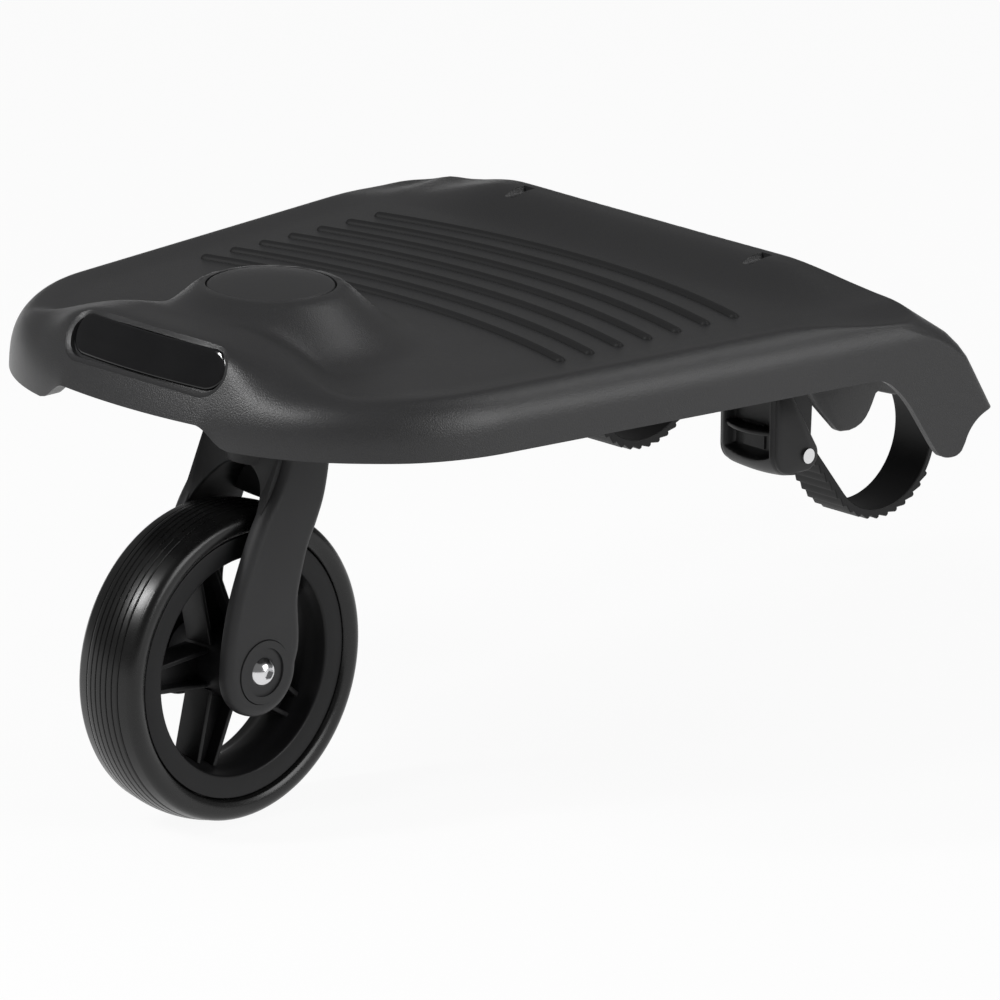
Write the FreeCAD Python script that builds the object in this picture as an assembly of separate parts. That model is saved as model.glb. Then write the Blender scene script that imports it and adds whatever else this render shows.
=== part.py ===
import FreeCAD, Part
import math
import os
from FreeCAD import Vector

os.makedirs("parts", exist_ok=True)

# Buggy board: a ride-on board that straps to the rear tube of a stroller.
# Millimetres. X points at the stroller, Y to the far side, Z up.
# The origin is on the midline, at the middle of the tube that the straps close on.

# General clearances
overrun = 5.0            # how far a cutting body runs past what it cuts
weld = 0.6               # how far one moulded feature sinks into the next
slip = 0.05              # radial running clearance of a pin or shaft
seat_gap = 0.2           # clearance round a piece that drops into a pocket
side_gap = 0.5           # clearance beside a moving piece
play = 0.3               # clearance along an axle or over a tooth

# Straps and the tube they hold
tube_r = 32.0
strap_thick = 3.0
strap_w = 24.0
strap_y = 79.0           # middle of each strap from the midline
tooth_h = 1.6
tooth_pitch = 6.0
tooth_base_share = 0.8
tail_len = 62.0          # straight run from the loop into the buckle
tail_plain = 9.0        # end of that run that has no teeth
tail_tip = 1.6           # thickness of the tip
tail_angle = 218.0       # degrees round the loop where the straight run leaves it
tooth_start_angle = -28.0
anchor_x = -29.0
anchor_z = 43.0
anchor_pin_r = 3.0
anchor_head_r = 4.6
anchor_head = 1.5
eye_r = 6.5
lug_r = 8.0
lug_thick = 4.0

# Buckles
lever_pin_x = -57.0
lever_pin_z = 6.0
lever_pin_r = 2.5
lever_pin_head_r = 3.6
lever_pin_head = 1.2
lever_w = 38.0
lever_wall = 3.4
lever_face_x = -78.0
lever_face = 4.5
lever_top_z = 46.0
lever_floor = 3.0
lever_round = 9.0
lever_end_r = 8.0
lever_scoop = 2.4
lever_scoop_border = 4.0
lip_z = 14.0
lip_out = 4.5
lip_thick = 4.4
pawl_w = 14.0
pawl_reach = 12.0        # from the pin to the pawl's nose, along the strap
pawl_nose = 3.5
pawl_hub_r = 4.2
cheek_thick = 2.4
cheek_r = 6.0
flange_thick = 4.0
flange_top_z = 64.0
flange_front_x = -85.0
flange_rear_x = -49.0
flange_w = 62.0
boss_r = 5.0
screw_x = -67.0
screw_pitch = 50.0
screw_r = 2.0
screw_head_r = 3.8
screw_head = 2.4
screw_len = 16.0
spring_wire_r = 0.5
spring_turns = 3
spring_pitch = 1.12

# Deck
floor_z = 90.0           # top of the standing floor
floor_wall = 4.0
skin = 3.5
front_wall = 9.0
front_x = -394.0
front_bow_r = 303.0
front_corner_r = 88.0
rear_corner_r = 5.0
half_width = 153.0
half_width_x = -238.0
flare_share = 0.106      # growth of the half width along X
skirt_front_z = 64.6
skirt_rear_z = 62.0
arch_top_z = 71.0
arch_half = 44.0
arch_run = 18.0
roll_h = 17.0            # height and width of the rolled side edge
roll_w = 12.5
roll_shares = (0.0, 0.4, 0.67, 0.87, 1.0)
crown_z = 112.0          # above the highest point of the moulding's edge
front_lean_share = 0.577 # how far the badge face leans back for its height
front_break_level = 2    # the roll level where that lean starts
apron_foot_x = -13.0
apron_foot_z = 38.0
apron_knee_x = -34.0
apron_knee_z = 75.5
apron_lip_x = -63.0
apron_lip_z = 102.5
apron_edge_z = 55.0
apron_inner_x = -45.0    # where the cut between the claws starts
claw_inner_y = 158.0
claw_start_x = -81.0
claw_bend_x = -63.0
claw_bend_z = 46.0
claw_toe_x = -45.0
claw_z = 18.0
notch_x = -10.5
notch_z = 17.0
notch_r = 21.5
rim_rise = 2.7            # height of the side rim at half_width_x
rim_fall_share = 0.032    # how fast that rim falls towards the stroller
rim_inset = 9.0
rim_run = 25.0
crest_rise = 19.0
crest_inset = 14.0
crest_inset_gain = 26.0  # how much more of that, and of the run, the middle has
crest_run = 30.0
crest_run_gain = 18.0
crest_flat = 28.0
crest_fade = 92.0
lip_rise = 11.0
lip_start_x = -105.0
lip_run = 36.0
lip_flat = 70.0
lip_fade = 75.0
blend_power = 3.0
surface_step = 11.0      # spacing of the points that carry the moulded top
rib_thick = 2.5
rib_bottom_z = 70.0
rib_pitch = 42.0
rib_rows = 4
rib_first_x = -260.0
saddle_y = 120.0
saddle_thick = 5.0
saddle_r = 52.0
saddle_front_x = -115.0
saddle_toe_x = -63.0
saddle_toe_z = 24.0
saddle_seat_x = -32.0    # where the tube seat runs out above
claw_swell = 0.6         # how far the claw's curved edges leave the straight line
slot_w = 7.0
slot_bottom_z = 98.0
slot_x = -77.0

# Anti-slip beads
bead_count = 7
bead_pitch = 18.6
bead_first_x = -238.0
bead_half = 117.6
bead_bow = 17.5
bead_r = 2.5
tread_margin = 3.5       # flat ground left round the beads
tread_proud = 0.4

# Badge
badge_w = 104.0
badge_h = 23.0
badge_z = 97.5
badge_sink = 1.0
badge_thick = 2.4

# Caster swivel
swivel_x = -308.4
swivel_rise = 25.0
swivel_boss_r = 33.0
swivel_boss_run = 39.0
swivel_boss_skew = 0.72 # below 1, the boss is steeper at its top than at its foot
cap_r = 29.7
cap_edge = 3.5
cap_dome = 3.5
cap_skirt_r = 26.0
cap_skirt = 7.0
cap_wall = 2.0
tower_r = 30.0
tower_bottom_z = 54.0
nut_room_r = 22.0
nut_room_z = 97.0
kingpin_r = 7.0
kingpin_thread_r = 6.0
kingpin_top_z = 107.0
kingpin_foot_z = 34.0
bush_wall = 3.0
bush_len = 14.0
bush_flange_r = 15.0
bush_flange = 2.0
thrust_washer = 1.6
thrust_washer_r = 20.0
top_washer = 2.0
nut_h = 7.0
nut_flats = 22.0

# Fork
trail = 30.8
axle_z = -57.8
fork_gap = 44.2
leg_thick = 8.0
leg_end_r = 21.8
fork_top_front_x = -324.0
fork_top_rear_x = -287.0
fork_arch_z = 33.0
fork_arch_r = 12.0
fork_shoulder_r = 10.0
fork_hub_r = 21.0
hood_x = -309.0           # front of the wall that closes the fork behind the wheel
hood_thick = 4.0
hood_bottom_z = 15.0
leg_front_bow = 8.0
leg_rear_bow = 5.0
leg_top_front_x = -325.5
leg_top_rear_x = -296.0
leg_top_z = 33.0
leg_round = 2.0

# Axle
axle_r = 4.0
axle_head_r = 7.0
axle_head = 4.0
axle_socket_r = 2.6
axle_socket = 2.2
axle_nut_h = 6.5
axle_nut_flats = 13.0
insert_r = 15.2
insert_flange = 3.0
insert_step_r = 11.5
insert_step = 1.2
insert_boss_r = 8.0
insert_proud = 0.6
sleeve_r = 5.6

# Wheel
wheel_r = 75.0
tyre_half = 18.8
tyre_ring = 12.4         # from the tread in to the rim's edge
tyre_shoulder = 2.4      # from the tread in to its shoulder
tyre_shoulder_half = 15.0
tyre_belly = 6.5         # from the tread in to the widest place
tyre_edge = 1.2          # from the rim's edge out to the side wall
tyre_edge_half = 17.2
tread_grooves = 7
tread_groove_pitch = 3.4
tread_groove_w = 0.8
tread_groove = 0.9
rim_half = 16.6
rim_flange = 4.0
rim_seat = 4.6           # how deep the tyre sits in the rim
rim_wall = 6.5           # under that seat
rim_step = 4.0
rim_step_half = 8.0
hub_r = 16.0
hub_half = 18.6
bearing_r = 11.0
bearing_w = 7.0
bearing_race = 1.9
bearing_shield = 0.5
hub_bore_r = 9.0
spoke_count = 5
spoke_hub_w = 19.0
spoke_rim_w = 13.0
spoke_web = 3.0
spoke_flange = 2.6
spoke_half = 8.0
spoke_turn = 36.0        # degrees from +X to the first spoke

# Worked out from the sizes above
strap_r = tube_r + strap_thick
tyre_shoulder_r = wheel_r - tyre_shoulder
tyre_belly_r = wheel_r - tyre_belly
rim_r = wheel_r - tyre_ring
tyre_edge_r = rim_r + tyre_edge
rim_seat_r = rim_r - rim_seat
rim_bore_r = rim_seat_r - rim_wall
rim_step_r = rim_bore_r - rim_step
cheek_inner = strap_w / 2 + side_gap
cheek_outer = cheek_inner + cheek_thick
lever_inner = lever_w / 2 - lever_wall
lug_inner = strap_w / 2 + side_gap
lug_outer = lug_inner + lug_thick
bush_r = kingpin_r + bush_wall
leg_inner = fork_gap / 2
leg_outer = leg_inner + leg_thick
axle_x = swivel_x - trail
fork_top_z = tower_bottom_z - bush_flange - play - thrust_washer
kingpin_washer_z = nut_room_z + play
swivel_top_z = floor_z + swivel_rise
front_break_z = apron_knee_z + roll_h * roll_shares[front_break_level]
tail_turn = math.radians(tail_angle)
tail_dir = Vector(math.sin(tail_turn), 0, -math.cos(tail_turn))
tail_out = Vector(math.cos(tail_turn), 0, math.sin(tail_turn))
Y_AXIS = Vector(0, 1, 0)
Z_AXIS = Vector(0, 0, 1)
ORIGIN = Vector(0, 0, 0)


def save(name, shape):
    """Write one piece to its own file."""
    shape.exportStep("parts/" + name + ".step")


def xz(x, z):
    return Vector(x, 0, z)


def outline(start, *steps):
    """A closed flat wire. A step is a point, for a line, or a (middle, end) pair, for an arc."""
    edges = []
    here = start
    for step in steps + (start,):
        if isinstance(step, tuple):
            middle, end = step
            edges.append(Part.Arc(here, middle, end).toShape())
        else:
            end = step
            if (end - here).Length > 0:
                edges.append(Part.LineSegment(here, end).toShape())
        here = end
    return Part.Wire(edges)


def plate(wire, y_from, y_to):
    """A flat piece: an outline in the XZ plane, carried along Y."""
    face = Part.Face(wire)
    face.translate(Vector(0, y_from, 0))
    return face.extrude(Vector(0, y_to - y_from, 0))


def disc(radius, y_from, y_to, x=0, z=0):
    """A cylinder along Y."""
    return Part.makeCylinder(radius, y_to - y_from, Vector(x, y_from, z), Y_AXIS)


def post(radius, z_from, z_to, x=0, y=0):
    """A cylinder along Z."""
    return Part.makeCylinder(radius, z_to - z_from, Vector(x, y, z_from))


def block(x_from, x_to, y_from, y_to, z_from, z_to):
    return Part.makeBox(x_to - x_from, y_to - y_from, z_to - z_from, Vector(x_from, y_from, z_from))


def hexagon(flats, height, place, direction):
    """A hexagon nut or socket, from its width over the flats."""
    corner = flats / math.sqrt(3)
    points = []
    for k in range(6):
        turn = math.radians(60 * k)
        points.append(Vector(corner * math.cos(turn), corner * math.sin(turn), 0))
    prism = Part.Face(Part.makePolygon(points + points[:1])).extrude(Vector(0, 0, height))
    prism.Placement = FreeCAD.Placement(place, FreeCAD.Rotation(Z_AXIS, direction))
    return prism


def joined(shapes):
    return shapes[0].multiFuse(shapes[1:]).removeSplitter()


def far_side(shape):
    """The mirror image of a near-side piece."""
    return shape.mirror(ORIGIN, Y_AXIS)


def both_sides(shape):
    return [shape, far_side(shape)]


# Deck

def half_width_at(x):
    return half_width + flare_share * (x - half_width_x)


def front_edge_at(y):
    return front_x + front_bow_r - math.sqrt(front_bow_r ** 2 - y ** 2)


def rear_edge_at(z):
    """The apron's outer face: two straight slopes that meet at the knee."""
    if z < apron_knee_z:
        slope = (apron_knee_x - apron_foot_x) / (apron_knee_z - apron_foot_z)
    else:
        slope = (apron_lip_x - apron_knee_x) / (apron_lip_z - apron_knee_z)
    return apron_knee_x + slope * (z - apron_knee_z)


def ease(share):
    """A smooth step from 0 to 1."""
    share = min(1, max(0, share))
    return share * share * (3 - 2 * share)


def top_at(x, y):
    """Height of the moulded top: side rim, caster-end crest, swivel boss and stroller-end lip."""
    side_room = half_width_at(x) - abs(y)
    rim = rim_rise - rim_fall_share * (x - half_width_x)
    side = rim * ease((rim_inset + rim_run - side_room) / rim_run)
    middle = 1 - ease((abs(y) - crest_flat) / crest_fade)
    crest_room = x - front_edge_at(y) - crest_inset - crest_inset_gain * middle
    front = crest_rise * middle * (1 - ease(crest_room / (crest_run + crest_run_gain * middle)))
    reach = math.hypot(x - swivel_x, y)
    down = min(1, max(0, reach - swivel_boss_r) / swivel_boss_run)
    boss = swivel_rise * (1 - ease(down ** swivel_boss_skew))
    lip = lip_rise * ease((x - lip_start_x) / lip_run) * (1 - ease((abs(y) - lip_flat) / lip_fade))
    blend = sum(rise ** blend_power for rise in (front, boss, lip)) ** (1 / blend_power)
    return floor_z + blend + side


def moulded_top(lower):
    """Everything below the moulded top, lowered by the given depth."""
    x_from, x_to = front_x - overrun, apron_foot_x + notch_r + overrun
    y_to = half_width_at(x_to) + overrun
    x_steps = math.ceil((x_to - x_from) / surface_step)
    y_steps = math.ceil(2 * y_to / surface_step)
    rows = []
    for i in range(x_steps + 1):
        x = x_from + (x_to - x_from) * i / x_steps
        row = []
        for j in range(y_steps + 1):
            y = y_to * (2 * j / y_steps - 1)
            row.append(Vector(x, y, top_at(x, y) - lower))
        rows.append(row)
    surface = Part.BSplineSurface()
    surface.interpolate(rows)
    depth = crown_z - claw_z + 2 * overrun
    return surface.toShape().extrude(Vector(0, 0, -depth))


def deck_section(z, side_inset, front_inset, rear_x):
    """The deck's plan outline at one height: bowed front, round corners, flared sides."""
    tilt = math.atan(flare_share)
    normal = Vector(-math.sin(tilt), math.cos(tilt), 0)
    along = Vector(math.cos(tilt), math.sin(tilt), 0)
    side_point = Vector(half_width_x, half_width - side_inset, 0)
    corner_r = front_corner_r - side_inset
    bow_x = front_x + front_inset + front_bow_r
    # centre of the front corner: corner_r inside the side, and tangent to the front bow inside
    base = side_point - normal * corner_r
    offset = base - Vector(bow_x, 0, 0)
    reach = front_bow_r - corner_r
    half_b = offset.dot(along)
    root = math.sqrt(half_b ** 2 - offset.dot(offset) + reach ** 2)
    front_centre = base + along * (-half_b - root)
    from_bow = (front_centre - Vector(bow_x, 0, 0)).normalize()
    bow_end = front_centre + from_bow * corner_r
    corner_mid = front_centre + (from_bow + normal).normalize() * corner_r
    side_start = front_centre + normal * corner_r
    # rear corner, tangent to the side and to the apron
    rear_base = side_point - normal * rear_corner_r
    rear_centre = rear_base + along * ((rear_x - rear_corner_r - rear_base.x) / along.x)
    side_end = rear_centre + normal * rear_corner_r
    rear_mid = rear_centre + (normal + Vector(1, 0, 0)).normalize() * rear_corner_r
    rear_end = rear_centre + Vector(rear_corner_r, 0, 0)

    def up(point, side=1):
        return Vector(point.x, side * point.y, z)

    return outline(up(bow_end, -1),
                   (Vector(front_x + front_inset, 0, z), up(bow_end)),
                   (up(corner_mid), up(side_start)),
                   up(side_end),
                   (up(rear_mid), up(rear_end)),
                   up(rear_end, -1),
                   (up(rear_mid, -1), up(side_end, -1)),
                   up(side_start, -1),
                   (up(corner_mid, -1), up(bow_end, -1)))


def deck_body(side_wall, front_inset, rear_wall):
    """The deck's outside as a block, drawn in by the given walls."""
    levels = [(claw_z - overrun, 0)]
    for share in roll_shares:
        levels.append((apron_knee_z + roll_h * share, roll_w * (1 - math.sqrt(1 - share ** 2))))
    levels.append((crown_z, roll_w + crown_z - levels[-1][0]))
    wires = []
    for z, roll in levels:
        lean = front_lean_share * max(0, z - front_break_z)
        wires.append(deck_section(z, side_wall + roll, front_inset + lean, rear_edge_at(z) - rear_wall))
    return Part.makeLoft(wires, True, True)


def deck_lower_limit():
    """Side view of the skirt's lower edge, the claws and their notches, carried across the deck."""
    wide = half_width_at(0) + 2 * overrun
    bend_mid = (xz(claw_start_x, skirt_rear_z) + xz(claw_bend_x, claw_bend_z)) / 2 + xz(claw_swell, claw_swell)
    claw_mid = xz((claw_bend_x + claw_toe_x) / 2 - claw_swell, (claw_bend_z + claw_z) / 2)
    heel = xz(notch_x - notch_r, claw_z)
    tip = xz(apron_foot_x, notch_z + math.sqrt(notch_r ** 2 - (apron_foot_x - notch_x) ** 2))
    turn = math.radians(135)
    notch_mid = xz(notch_x + notch_r * math.cos(turn), notch_z + notch_r * math.sin(turn))
    wire = outline(xz(front_x - overrun, skirt_front_z),
                   xz(claw_start_x, skirt_rear_z),
                   (bend_mid, xz(claw_bend_x, claw_bend_z)),
                   (claw_mid, xz(claw_toe_x, claw_z)),
                   heel,
                   (notch_mid, tip),
                   xz(apron_foot_x + overrun, tip.z),
                   xz(apron_foot_x + overrun, crown_z),
                   xz(front_x - overrun, crown_z))
    return plate(wire, -wide, wide)


def front_arch():
    """The raised stretch of the skirt's lower edge at the caster end."""
    points = [Vector(0, -arch_half - arch_run, skirt_front_z - overrun),
              Vector(0, -arch_half - arch_run, skirt_front_z - weld),
              Vector(0, -arch_half, arch_top_z),
              Vector(0, arch_half, arch_top_z),
              Vector(0, arch_half + arch_run, skirt_front_z - weld),
              Vector(0, arch_half + arch_run, skirt_front_z - overrun)]
    face = Part.Face(Part.makePolygon(points + points[:1]))
    face.translate(Vector(front_x - overrun, 0, 0))
    return face.extrude(Vector(front_corner_r, 0, 0))


def saddle():
    """The inner wall behind a claw, with a round lobe and a seat for the tube."""
    seat_turn = math.asin(saddle_toe_z / saddle_r)
    seat_low = xz(-saddle_r * math.cos(seat_turn), saddle_toe_z)
    seat_end = xz(saddle_seat_x, math.sqrt(saddle_r ** 2 - saddle_seat_x ** 2))
    middle_turn = (seat_turn + math.asin(seat_end.z / saddle_r)) / 2
    seat_mid = xz(-saddle_r * math.cos(middle_turn), saddle_r * math.sin(middle_turn))
    lobe_mid = xz((saddle_toe_x + seat_low.x) / 2, saddle_toe_z - claw_swell)
    wire = outline(xz(saddle_front_x, crown_z),
                   xz(saddle_front_x, floor_z - 2 * floor_wall),
                   xz(saddle_toe_x - saddle_toe_z / 2, apron_foot_z),
                   xz(saddle_toe_x, saddle_toe_z),
                   (lobe_mid, seat_low),
                   (seat_mid, seat_end),
                   xz(seat_end.x, crown_z))
    return plate(wire, -saddle_y - saddle_thick / 2, -saddle_y + saddle_thick / 2)


def anchor_lugs():
    """The two ears that carry a strap's anchor pin."""
    wire = outline(xz(anchor_x - lug_r, crown_z),
                   xz(anchor_x - lug_r, anchor_z),
                   (xz(anchor_x, anchor_z - lug_r), xz(anchor_x + lug_r, anchor_z)),
                   xz(anchor_x + lug_r, crown_z))
    ears = []
    for y in (-strap_y - lug_outer, -strap_y + lug_inner):
        ears.append(plate(wire, y, y + lug_thick))
    return ears


def underside_ribs():
    """Long and cross ribs under the floor, the saddles, the strap ears and the screw bosses."""
    ribs = []
    rib_end_x = rib_first_x + rib_pitch * rib_rows
    for y in (saddle_y, strap_y / 2):
        long_rib = block(swivel_x, rib_end_x, -y - rib_thick / 2, -y + rib_thick / 2, rib_bottom_z, crown_z)
        ribs += both_sides(long_rib)
    for k in range(rib_rows + 1):
        x = rib_first_x + rib_pitch * k
        reach = half_width_at(x)
        ribs.append(block(x, x + rib_thick, -reach, reach, rib_bottom_z, crown_z))
    ribs += both_sides(saddle())
    for ear in anchor_lugs():
        ribs += both_sides(ear)
    for side in (-1, 1):
        screw_boss = post(boss_r, flange_top_z, crown_z, screw_x, -strap_y + side * screw_pitch / 2)
        ribs += both_sides(screw_boss)
    ribs.append(post(tower_r, tower_bottom_z, swivel_top_z, swivel_x))
    return ribs


def bead(x):
    """One half-round anti-slip bead, bowed towards the stroller, with ball ends."""
    bow_r = (bead_half ** 2 + bead_bow ** 2) / (2 * bead_bow)
    centre_x = x + bead_bow - bow_r
    half_turn = math.degrees(math.asin(bead_half / bow_r))
    ring = Part.Face(Part.Wire(Part.makeCircle(bead_r, Vector(centre_x + bow_r, 0, floor_z), Y_AXIS)))
    ring.rotate(Vector(centre_x, 0, 0), Z_AXIS, -half_turn)
    arc = ring.revolve(Vector(centre_x, 0, 0), Z_AXIS, 2 * half_turn)
    ends = [Part.makeSphere(bead_r, Vector(x, y, floor_z)) for y in (-bead_half, bead_half)]
    return joined([arc] + ends)


def tread():
    """The flat ground of the floor, bowed as the beads are, with its beads."""
    half = bead_half + tread_margin
    front = bead_first_x - tread_margin
    rear = bead_first_x + bead_pitch * (bead_count - 1) + tread_margin
    low = floor_z - floor_wall / 2
    wire = outline(Vector(front, -half, low), (Vector(front + bead_bow, 0, low), Vector(front, half, low)),
                   Vector(rear, half, low), (Vector(rear + bead_bow, 0, low), Vector(rear, -half, low)))
    ground = Part.Face(wire).extrude(Vector(0, 0, floor_z + tread_proud - low))
    return joined([ground] + [bead(bead_first_x + bead_pitch * k) for k in range(bead_count)])


def badge_prism(margin):
    """The badge's stadium outline, carried square to the sloping face."""
    half = badge_w / 2 - badge_h / 2
    radius = badge_h / 2 + margin
    depth = front_corner_r
    wire = outline(Vector(-half, -radius, 0), Vector(half, -radius, 0),
                   (Vector(half + radius, 0, 0), Vector(half, radius, 0)),
                   Vector(-half, radius, 0),
                   (Vector(-half - radius, 0, 0), Vector(-half, -radius, 0)))
    prism = Part.Face(wire).extrude(Vector(0, 0, depth))
    prism.translate(Vector(0, 0, -depth / 2))
    prism.rotate(ORIGIN, Z_AXIS, -90)
    prism.rotate(ORIGIN, Y_AXIS, math.degrees(math.atan(front_lean_share)) - 90)
    prism.translate(Vector(front_x + front_lean_share * (badge_z - front_break_z), 0, badge_z))
    return prism


def badge_layer(margin, outer, inner):
    """The stretch of the front face under the badge outline, between two depths."""
    lean = badge_prism(margin)
    limit = block(front_x - overrun, front_x + front_corner_r / 2, -badge_w, badge_w, apron_knee_z, crown_z)
    lean = lean.common(limit).common(deck_body(0, outer, 0))
    return lean.cut(deck_body(0, inner, 0))


def badge_plate():
    return badge_layer(-seat_gap, badge_sink, badge_sink + badge_thick)


def swivel_bores():
    """The cap's seat, the room for the nut and the bush seats, cut through the tower."""
    cap_seat_z = swivel_top_z - cap_edge
    return [post(cap_r + play, cap_seat_z, crown_z + swivel_rise, swivel_x),
            post(cap_skirt_r + seat_gap, cap_seat_z - cap_skirt - play, swivel_top_z, swivel_x),
            post(nut_room_r, nut_room_z - bush_flange, swivel_top_z, swivel_x),
            post(bush_r, tower_bottom_z - overrun, swivel_top_z, swivel_x)]


def lip_slots():
    """The two small U-shaped drain notches in the stroller-end lip, in line with the straps."""
    radius = slot_w / 2
    low = slot_bottom_z + radius
    slots = []
    for y in (-strap_y, strap_y):
        wire = outline(Vector(0, y - radius, crown_z), Vector(0, y - radius, low),
                       (Vector(0, y, slot_bottom_z), Vector(0, y + radius, low)),
                       Vector(0, y + radius, crown_z))
        face = Part.Face(wire)
        face.translate(Vector(slot_x - slot_w, 0, 0))
        slots.append(face.extrude(Vector(2 * slot_w, 0, 0)))
    return slots


def deck_shell():
    """The moulded deck: dished top, rolled edge, skirt, claws, and all that is moulded under it."""
    outside = deck_body(0, 0, 0)
    hollow = deck_body(skin, front_wall, skin).common(moulded_top(floor_wall))
    shell = outside.common(moulded_top(0)).cut(hollow).common(deck_lower_limit())
    between_claws = block(apron_inner_x, apron_foot_x + 2 * overrun,
                          -claw_inner_y, claw_inner_y, claw_z - overrun, apron_edge_z)
    shell = shell.cut([between_claws, front_arch()])
    inside = deck_body(weld, weld, weld).common(moulded_top(weld))
    shell = shell.multiFuse([rib.common(inside) for rib in underside_ribs()])
    shell = shell.fuse(tread())
    screw_holes = []
    for side in (-1, 1):
        hole = post(screw_r - seat_gap, flange_top_z - overrun, flange_top_z + screw_len - flange_thick,
                    screw_x, -strap_y + side * screw_pitch / 2)
        screw_holes += both_sides(hole)
    pin_holes = both_sides(disc(anchor_pin_r, -strap_y - lug_outer - overrun, -strap_y + lug_outer + overrun,
                                anchor_x, anchor_z))
    pocket = badge_layer(0, -overrun, badge_sink + badge_thick)
    return shell.cut(swivel_bores() + lip_slots() + screw_holes + pin_holes + [pocket])


# Swivel, from the cap down to the fork

def swivel_cap():
    """The domed cap over the swivel nut, with the ring that snaps into the boss."""
    seat_z = swivel_top_z - cap_edge
    dome_r = (cap_r ** 2 + cap_dome ** 2) / (2 * cap_dome)
    dome = Part.makeSphere(dome_r, Vector(swivel_x, 0, swivel_top_z + cap_dome - dome_r))
    lid = post(cap_r, seat_z, swivel_top_z + cap_dome, swivel_x).common(dome)
    ring = post(cap_skirt_r, seat_z - cap_skirt, seat_z + weld, swivel_x)
    ring = ring.cut(post(cap_skirt_r - cap_wall, seat_z - cap_skirt - overrun, seat_z + overrun, swivel_x))
    return joined([lid, ring])


def swivel_bush(flange_z, direction):
    """A flanged plain bush. Its sleeve runs from the flange into the tower."""
    sleeve_end = flange_z + direction * bush_len
    flange_end = flange_z - direction * bush_flange
    sleeve = post(bush_r, min(flange_z, sleeve_end), max(flange_z, sleeve_end), swivel_x)
    flange = post(bush_flange_r, min(flange_z, flange_end), max(flange_z, flange_end), swivel_x)
    bore = post(kingpin_r + slip, flange_z - bush_len - overrun, flange_z + bush_len + overrun, swivel_x)
    return joined([sleeve, flange]).cut(bore)


def kingpin():
    """The steel swivel pin, pressed into the fork, with a thinner threaded top."""
    body = post(kingpin_r, kingpin_foot_z, kingpin_washer_z, swivel_x)
    thread = post(kingpin_thread_r, nut_room_z, kingpin_top_z, swivel_x)
    return joined([body, thread])


def washer(radius, bore, z_from, thickness):
    ring = post(radius, z_from, z_from + thickness, swivel_x)
    return ring.cut(post(bore, z_from - overrun, z_from + thickness + overrun, swivel_x))


def kingpin_nut():
    low = kingpin_washer_z + top_washer
    nut = hexagon(nut_flats, nut_h, Vector(swivel_x, 0, low), Z_AXIS)
    return nut.cut(post(kingpin_thread_r, low - overrun, low + nut_h + overrun, swivel_x))


# Fork and axle

def fork_side_view():
    """The leg's outline from the side: round end, two bowed edges and the crown's top."""
    axle = xz(axle_x, axle_z)
    low_front = axle + xz(-leg_end_r, 0)
    low_rear = axle + xz(leg_end_r, 0)
    top_front = xz(leg_top_front_x, leg_top_z)
    top_rear = xz(leg_top_rear_x, leg_top_z)
    front_mid = (low_front + top_front) / 2 + xz(-leg_front_bow, 0)
    rear_mid = (low_rear + top_rear) / 2 + xz(-leg_rear_bow, 0)
    return outline(low_front,
                   (front_mid, top_front),
                   xz(fork_top_front_x, fork_top_z),
                   xz(fork_top_rear_x, fork_top_z),
                   top_rear,
                   (rear_mid, low_rear),
                   (axle + xz(0, -leg_end_r), low_front))


def fork_front_view():
    """The fork from the caster end: a deep arch with round shoulders, carried along X."""
    low = axle_z - leg_end_r - overrun
    shoulder = fork_shoulder_r * math.sqrt(0.5)
    arch = fork_arch_r * math.sqrt(0.5)
    shoulder_y = leg_outer - fork_shoulder_r
    shoulder_z = fork_top_z - fork_shoulder_r
    arch_y = leg_inner - fork_arch_r
    arch_z = fork_arch_z - fork_arch_r

    def yz(y, z):
        return Vector(0, y, z)

    wire = outline(yz(-leg_outer, low), yz(-leg_outer, shoulder_z),
                   (yz(-shoulder_y - shoulder, shoulder_z + shoulder), yz(-shoulder_y, fork_top_z)),
                   yz(shoulder_y, fork_top_z),
                   (yz(shoulder_y + shoulder, shoulder_z + shoulder), yz(leg_outer, shoulder_z)),
                   yz(leg_outer, low), yz(leg_inner, low), yz(leg_inner, arch_z),
                   (yz(arch_y + arch, arch_z + arch), yz(arch_y, fork_arch_z)),
                   yz(-arch_y, fork_arch_z),
                   (yz(-arch_y - arch, arch_z + arch), yz(-leg_inner, arch_z)),
                   yz(-leg_inner, low))
    face = Part.Face(wire)
    face.translate(Vector(axle_x - leg_end_r - overrun, 0, 0))
    return face.extrude(Vector(trail + 2 * leg_end_r + tower_r, 0, 0))


def fork():
    """The swivelling fork: two legs, crown and swivel hub in one moulding."""
    body = plate(fork_side_view(), -leg_outer, leg_outer).common(fork_front_view())
    outer_edges = []
    for edge in body.Edges:
        middle = edge.valueAt((edge.FirstParameter + edge.LastParameter) / 2)
        points = [vertex.Point for vertex in edge.Vertexes] + [middle]
        on_face = all(abs(abs(point.y) - leg_outer) < slip for point in points)
        if on_face and middle.z < leg_top_z:
            outer_edges.append(edge)
    body = body.makeFillet(leg_round, outer_edges)
    hub = post(fork_hub_r, fork_arch_z, fork_top_z, swivel_x)
    hood = block(hood_x, hood_x + hood_thick, -leg_inner - weld, leg_inner + weld,
                 hood_bottom_z, fork_arch_z + weld)
    body = joined([body, hub, hood])
    cuts = [post(kingpin_r, kingpin_foot_z, fork_top_z + overrun, swivel_x),
            disc(insert_boss_r, -leg_outer - overrun, leg_outer + overrun, axle_x, axle_z)]
    recess = disc(insert_r, -leg_outer - overrun, -leg_outer + insert_flange - insert_proud, axle_x, axle_z)
    return body.cut(cuts + both_sides(recess))


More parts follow.
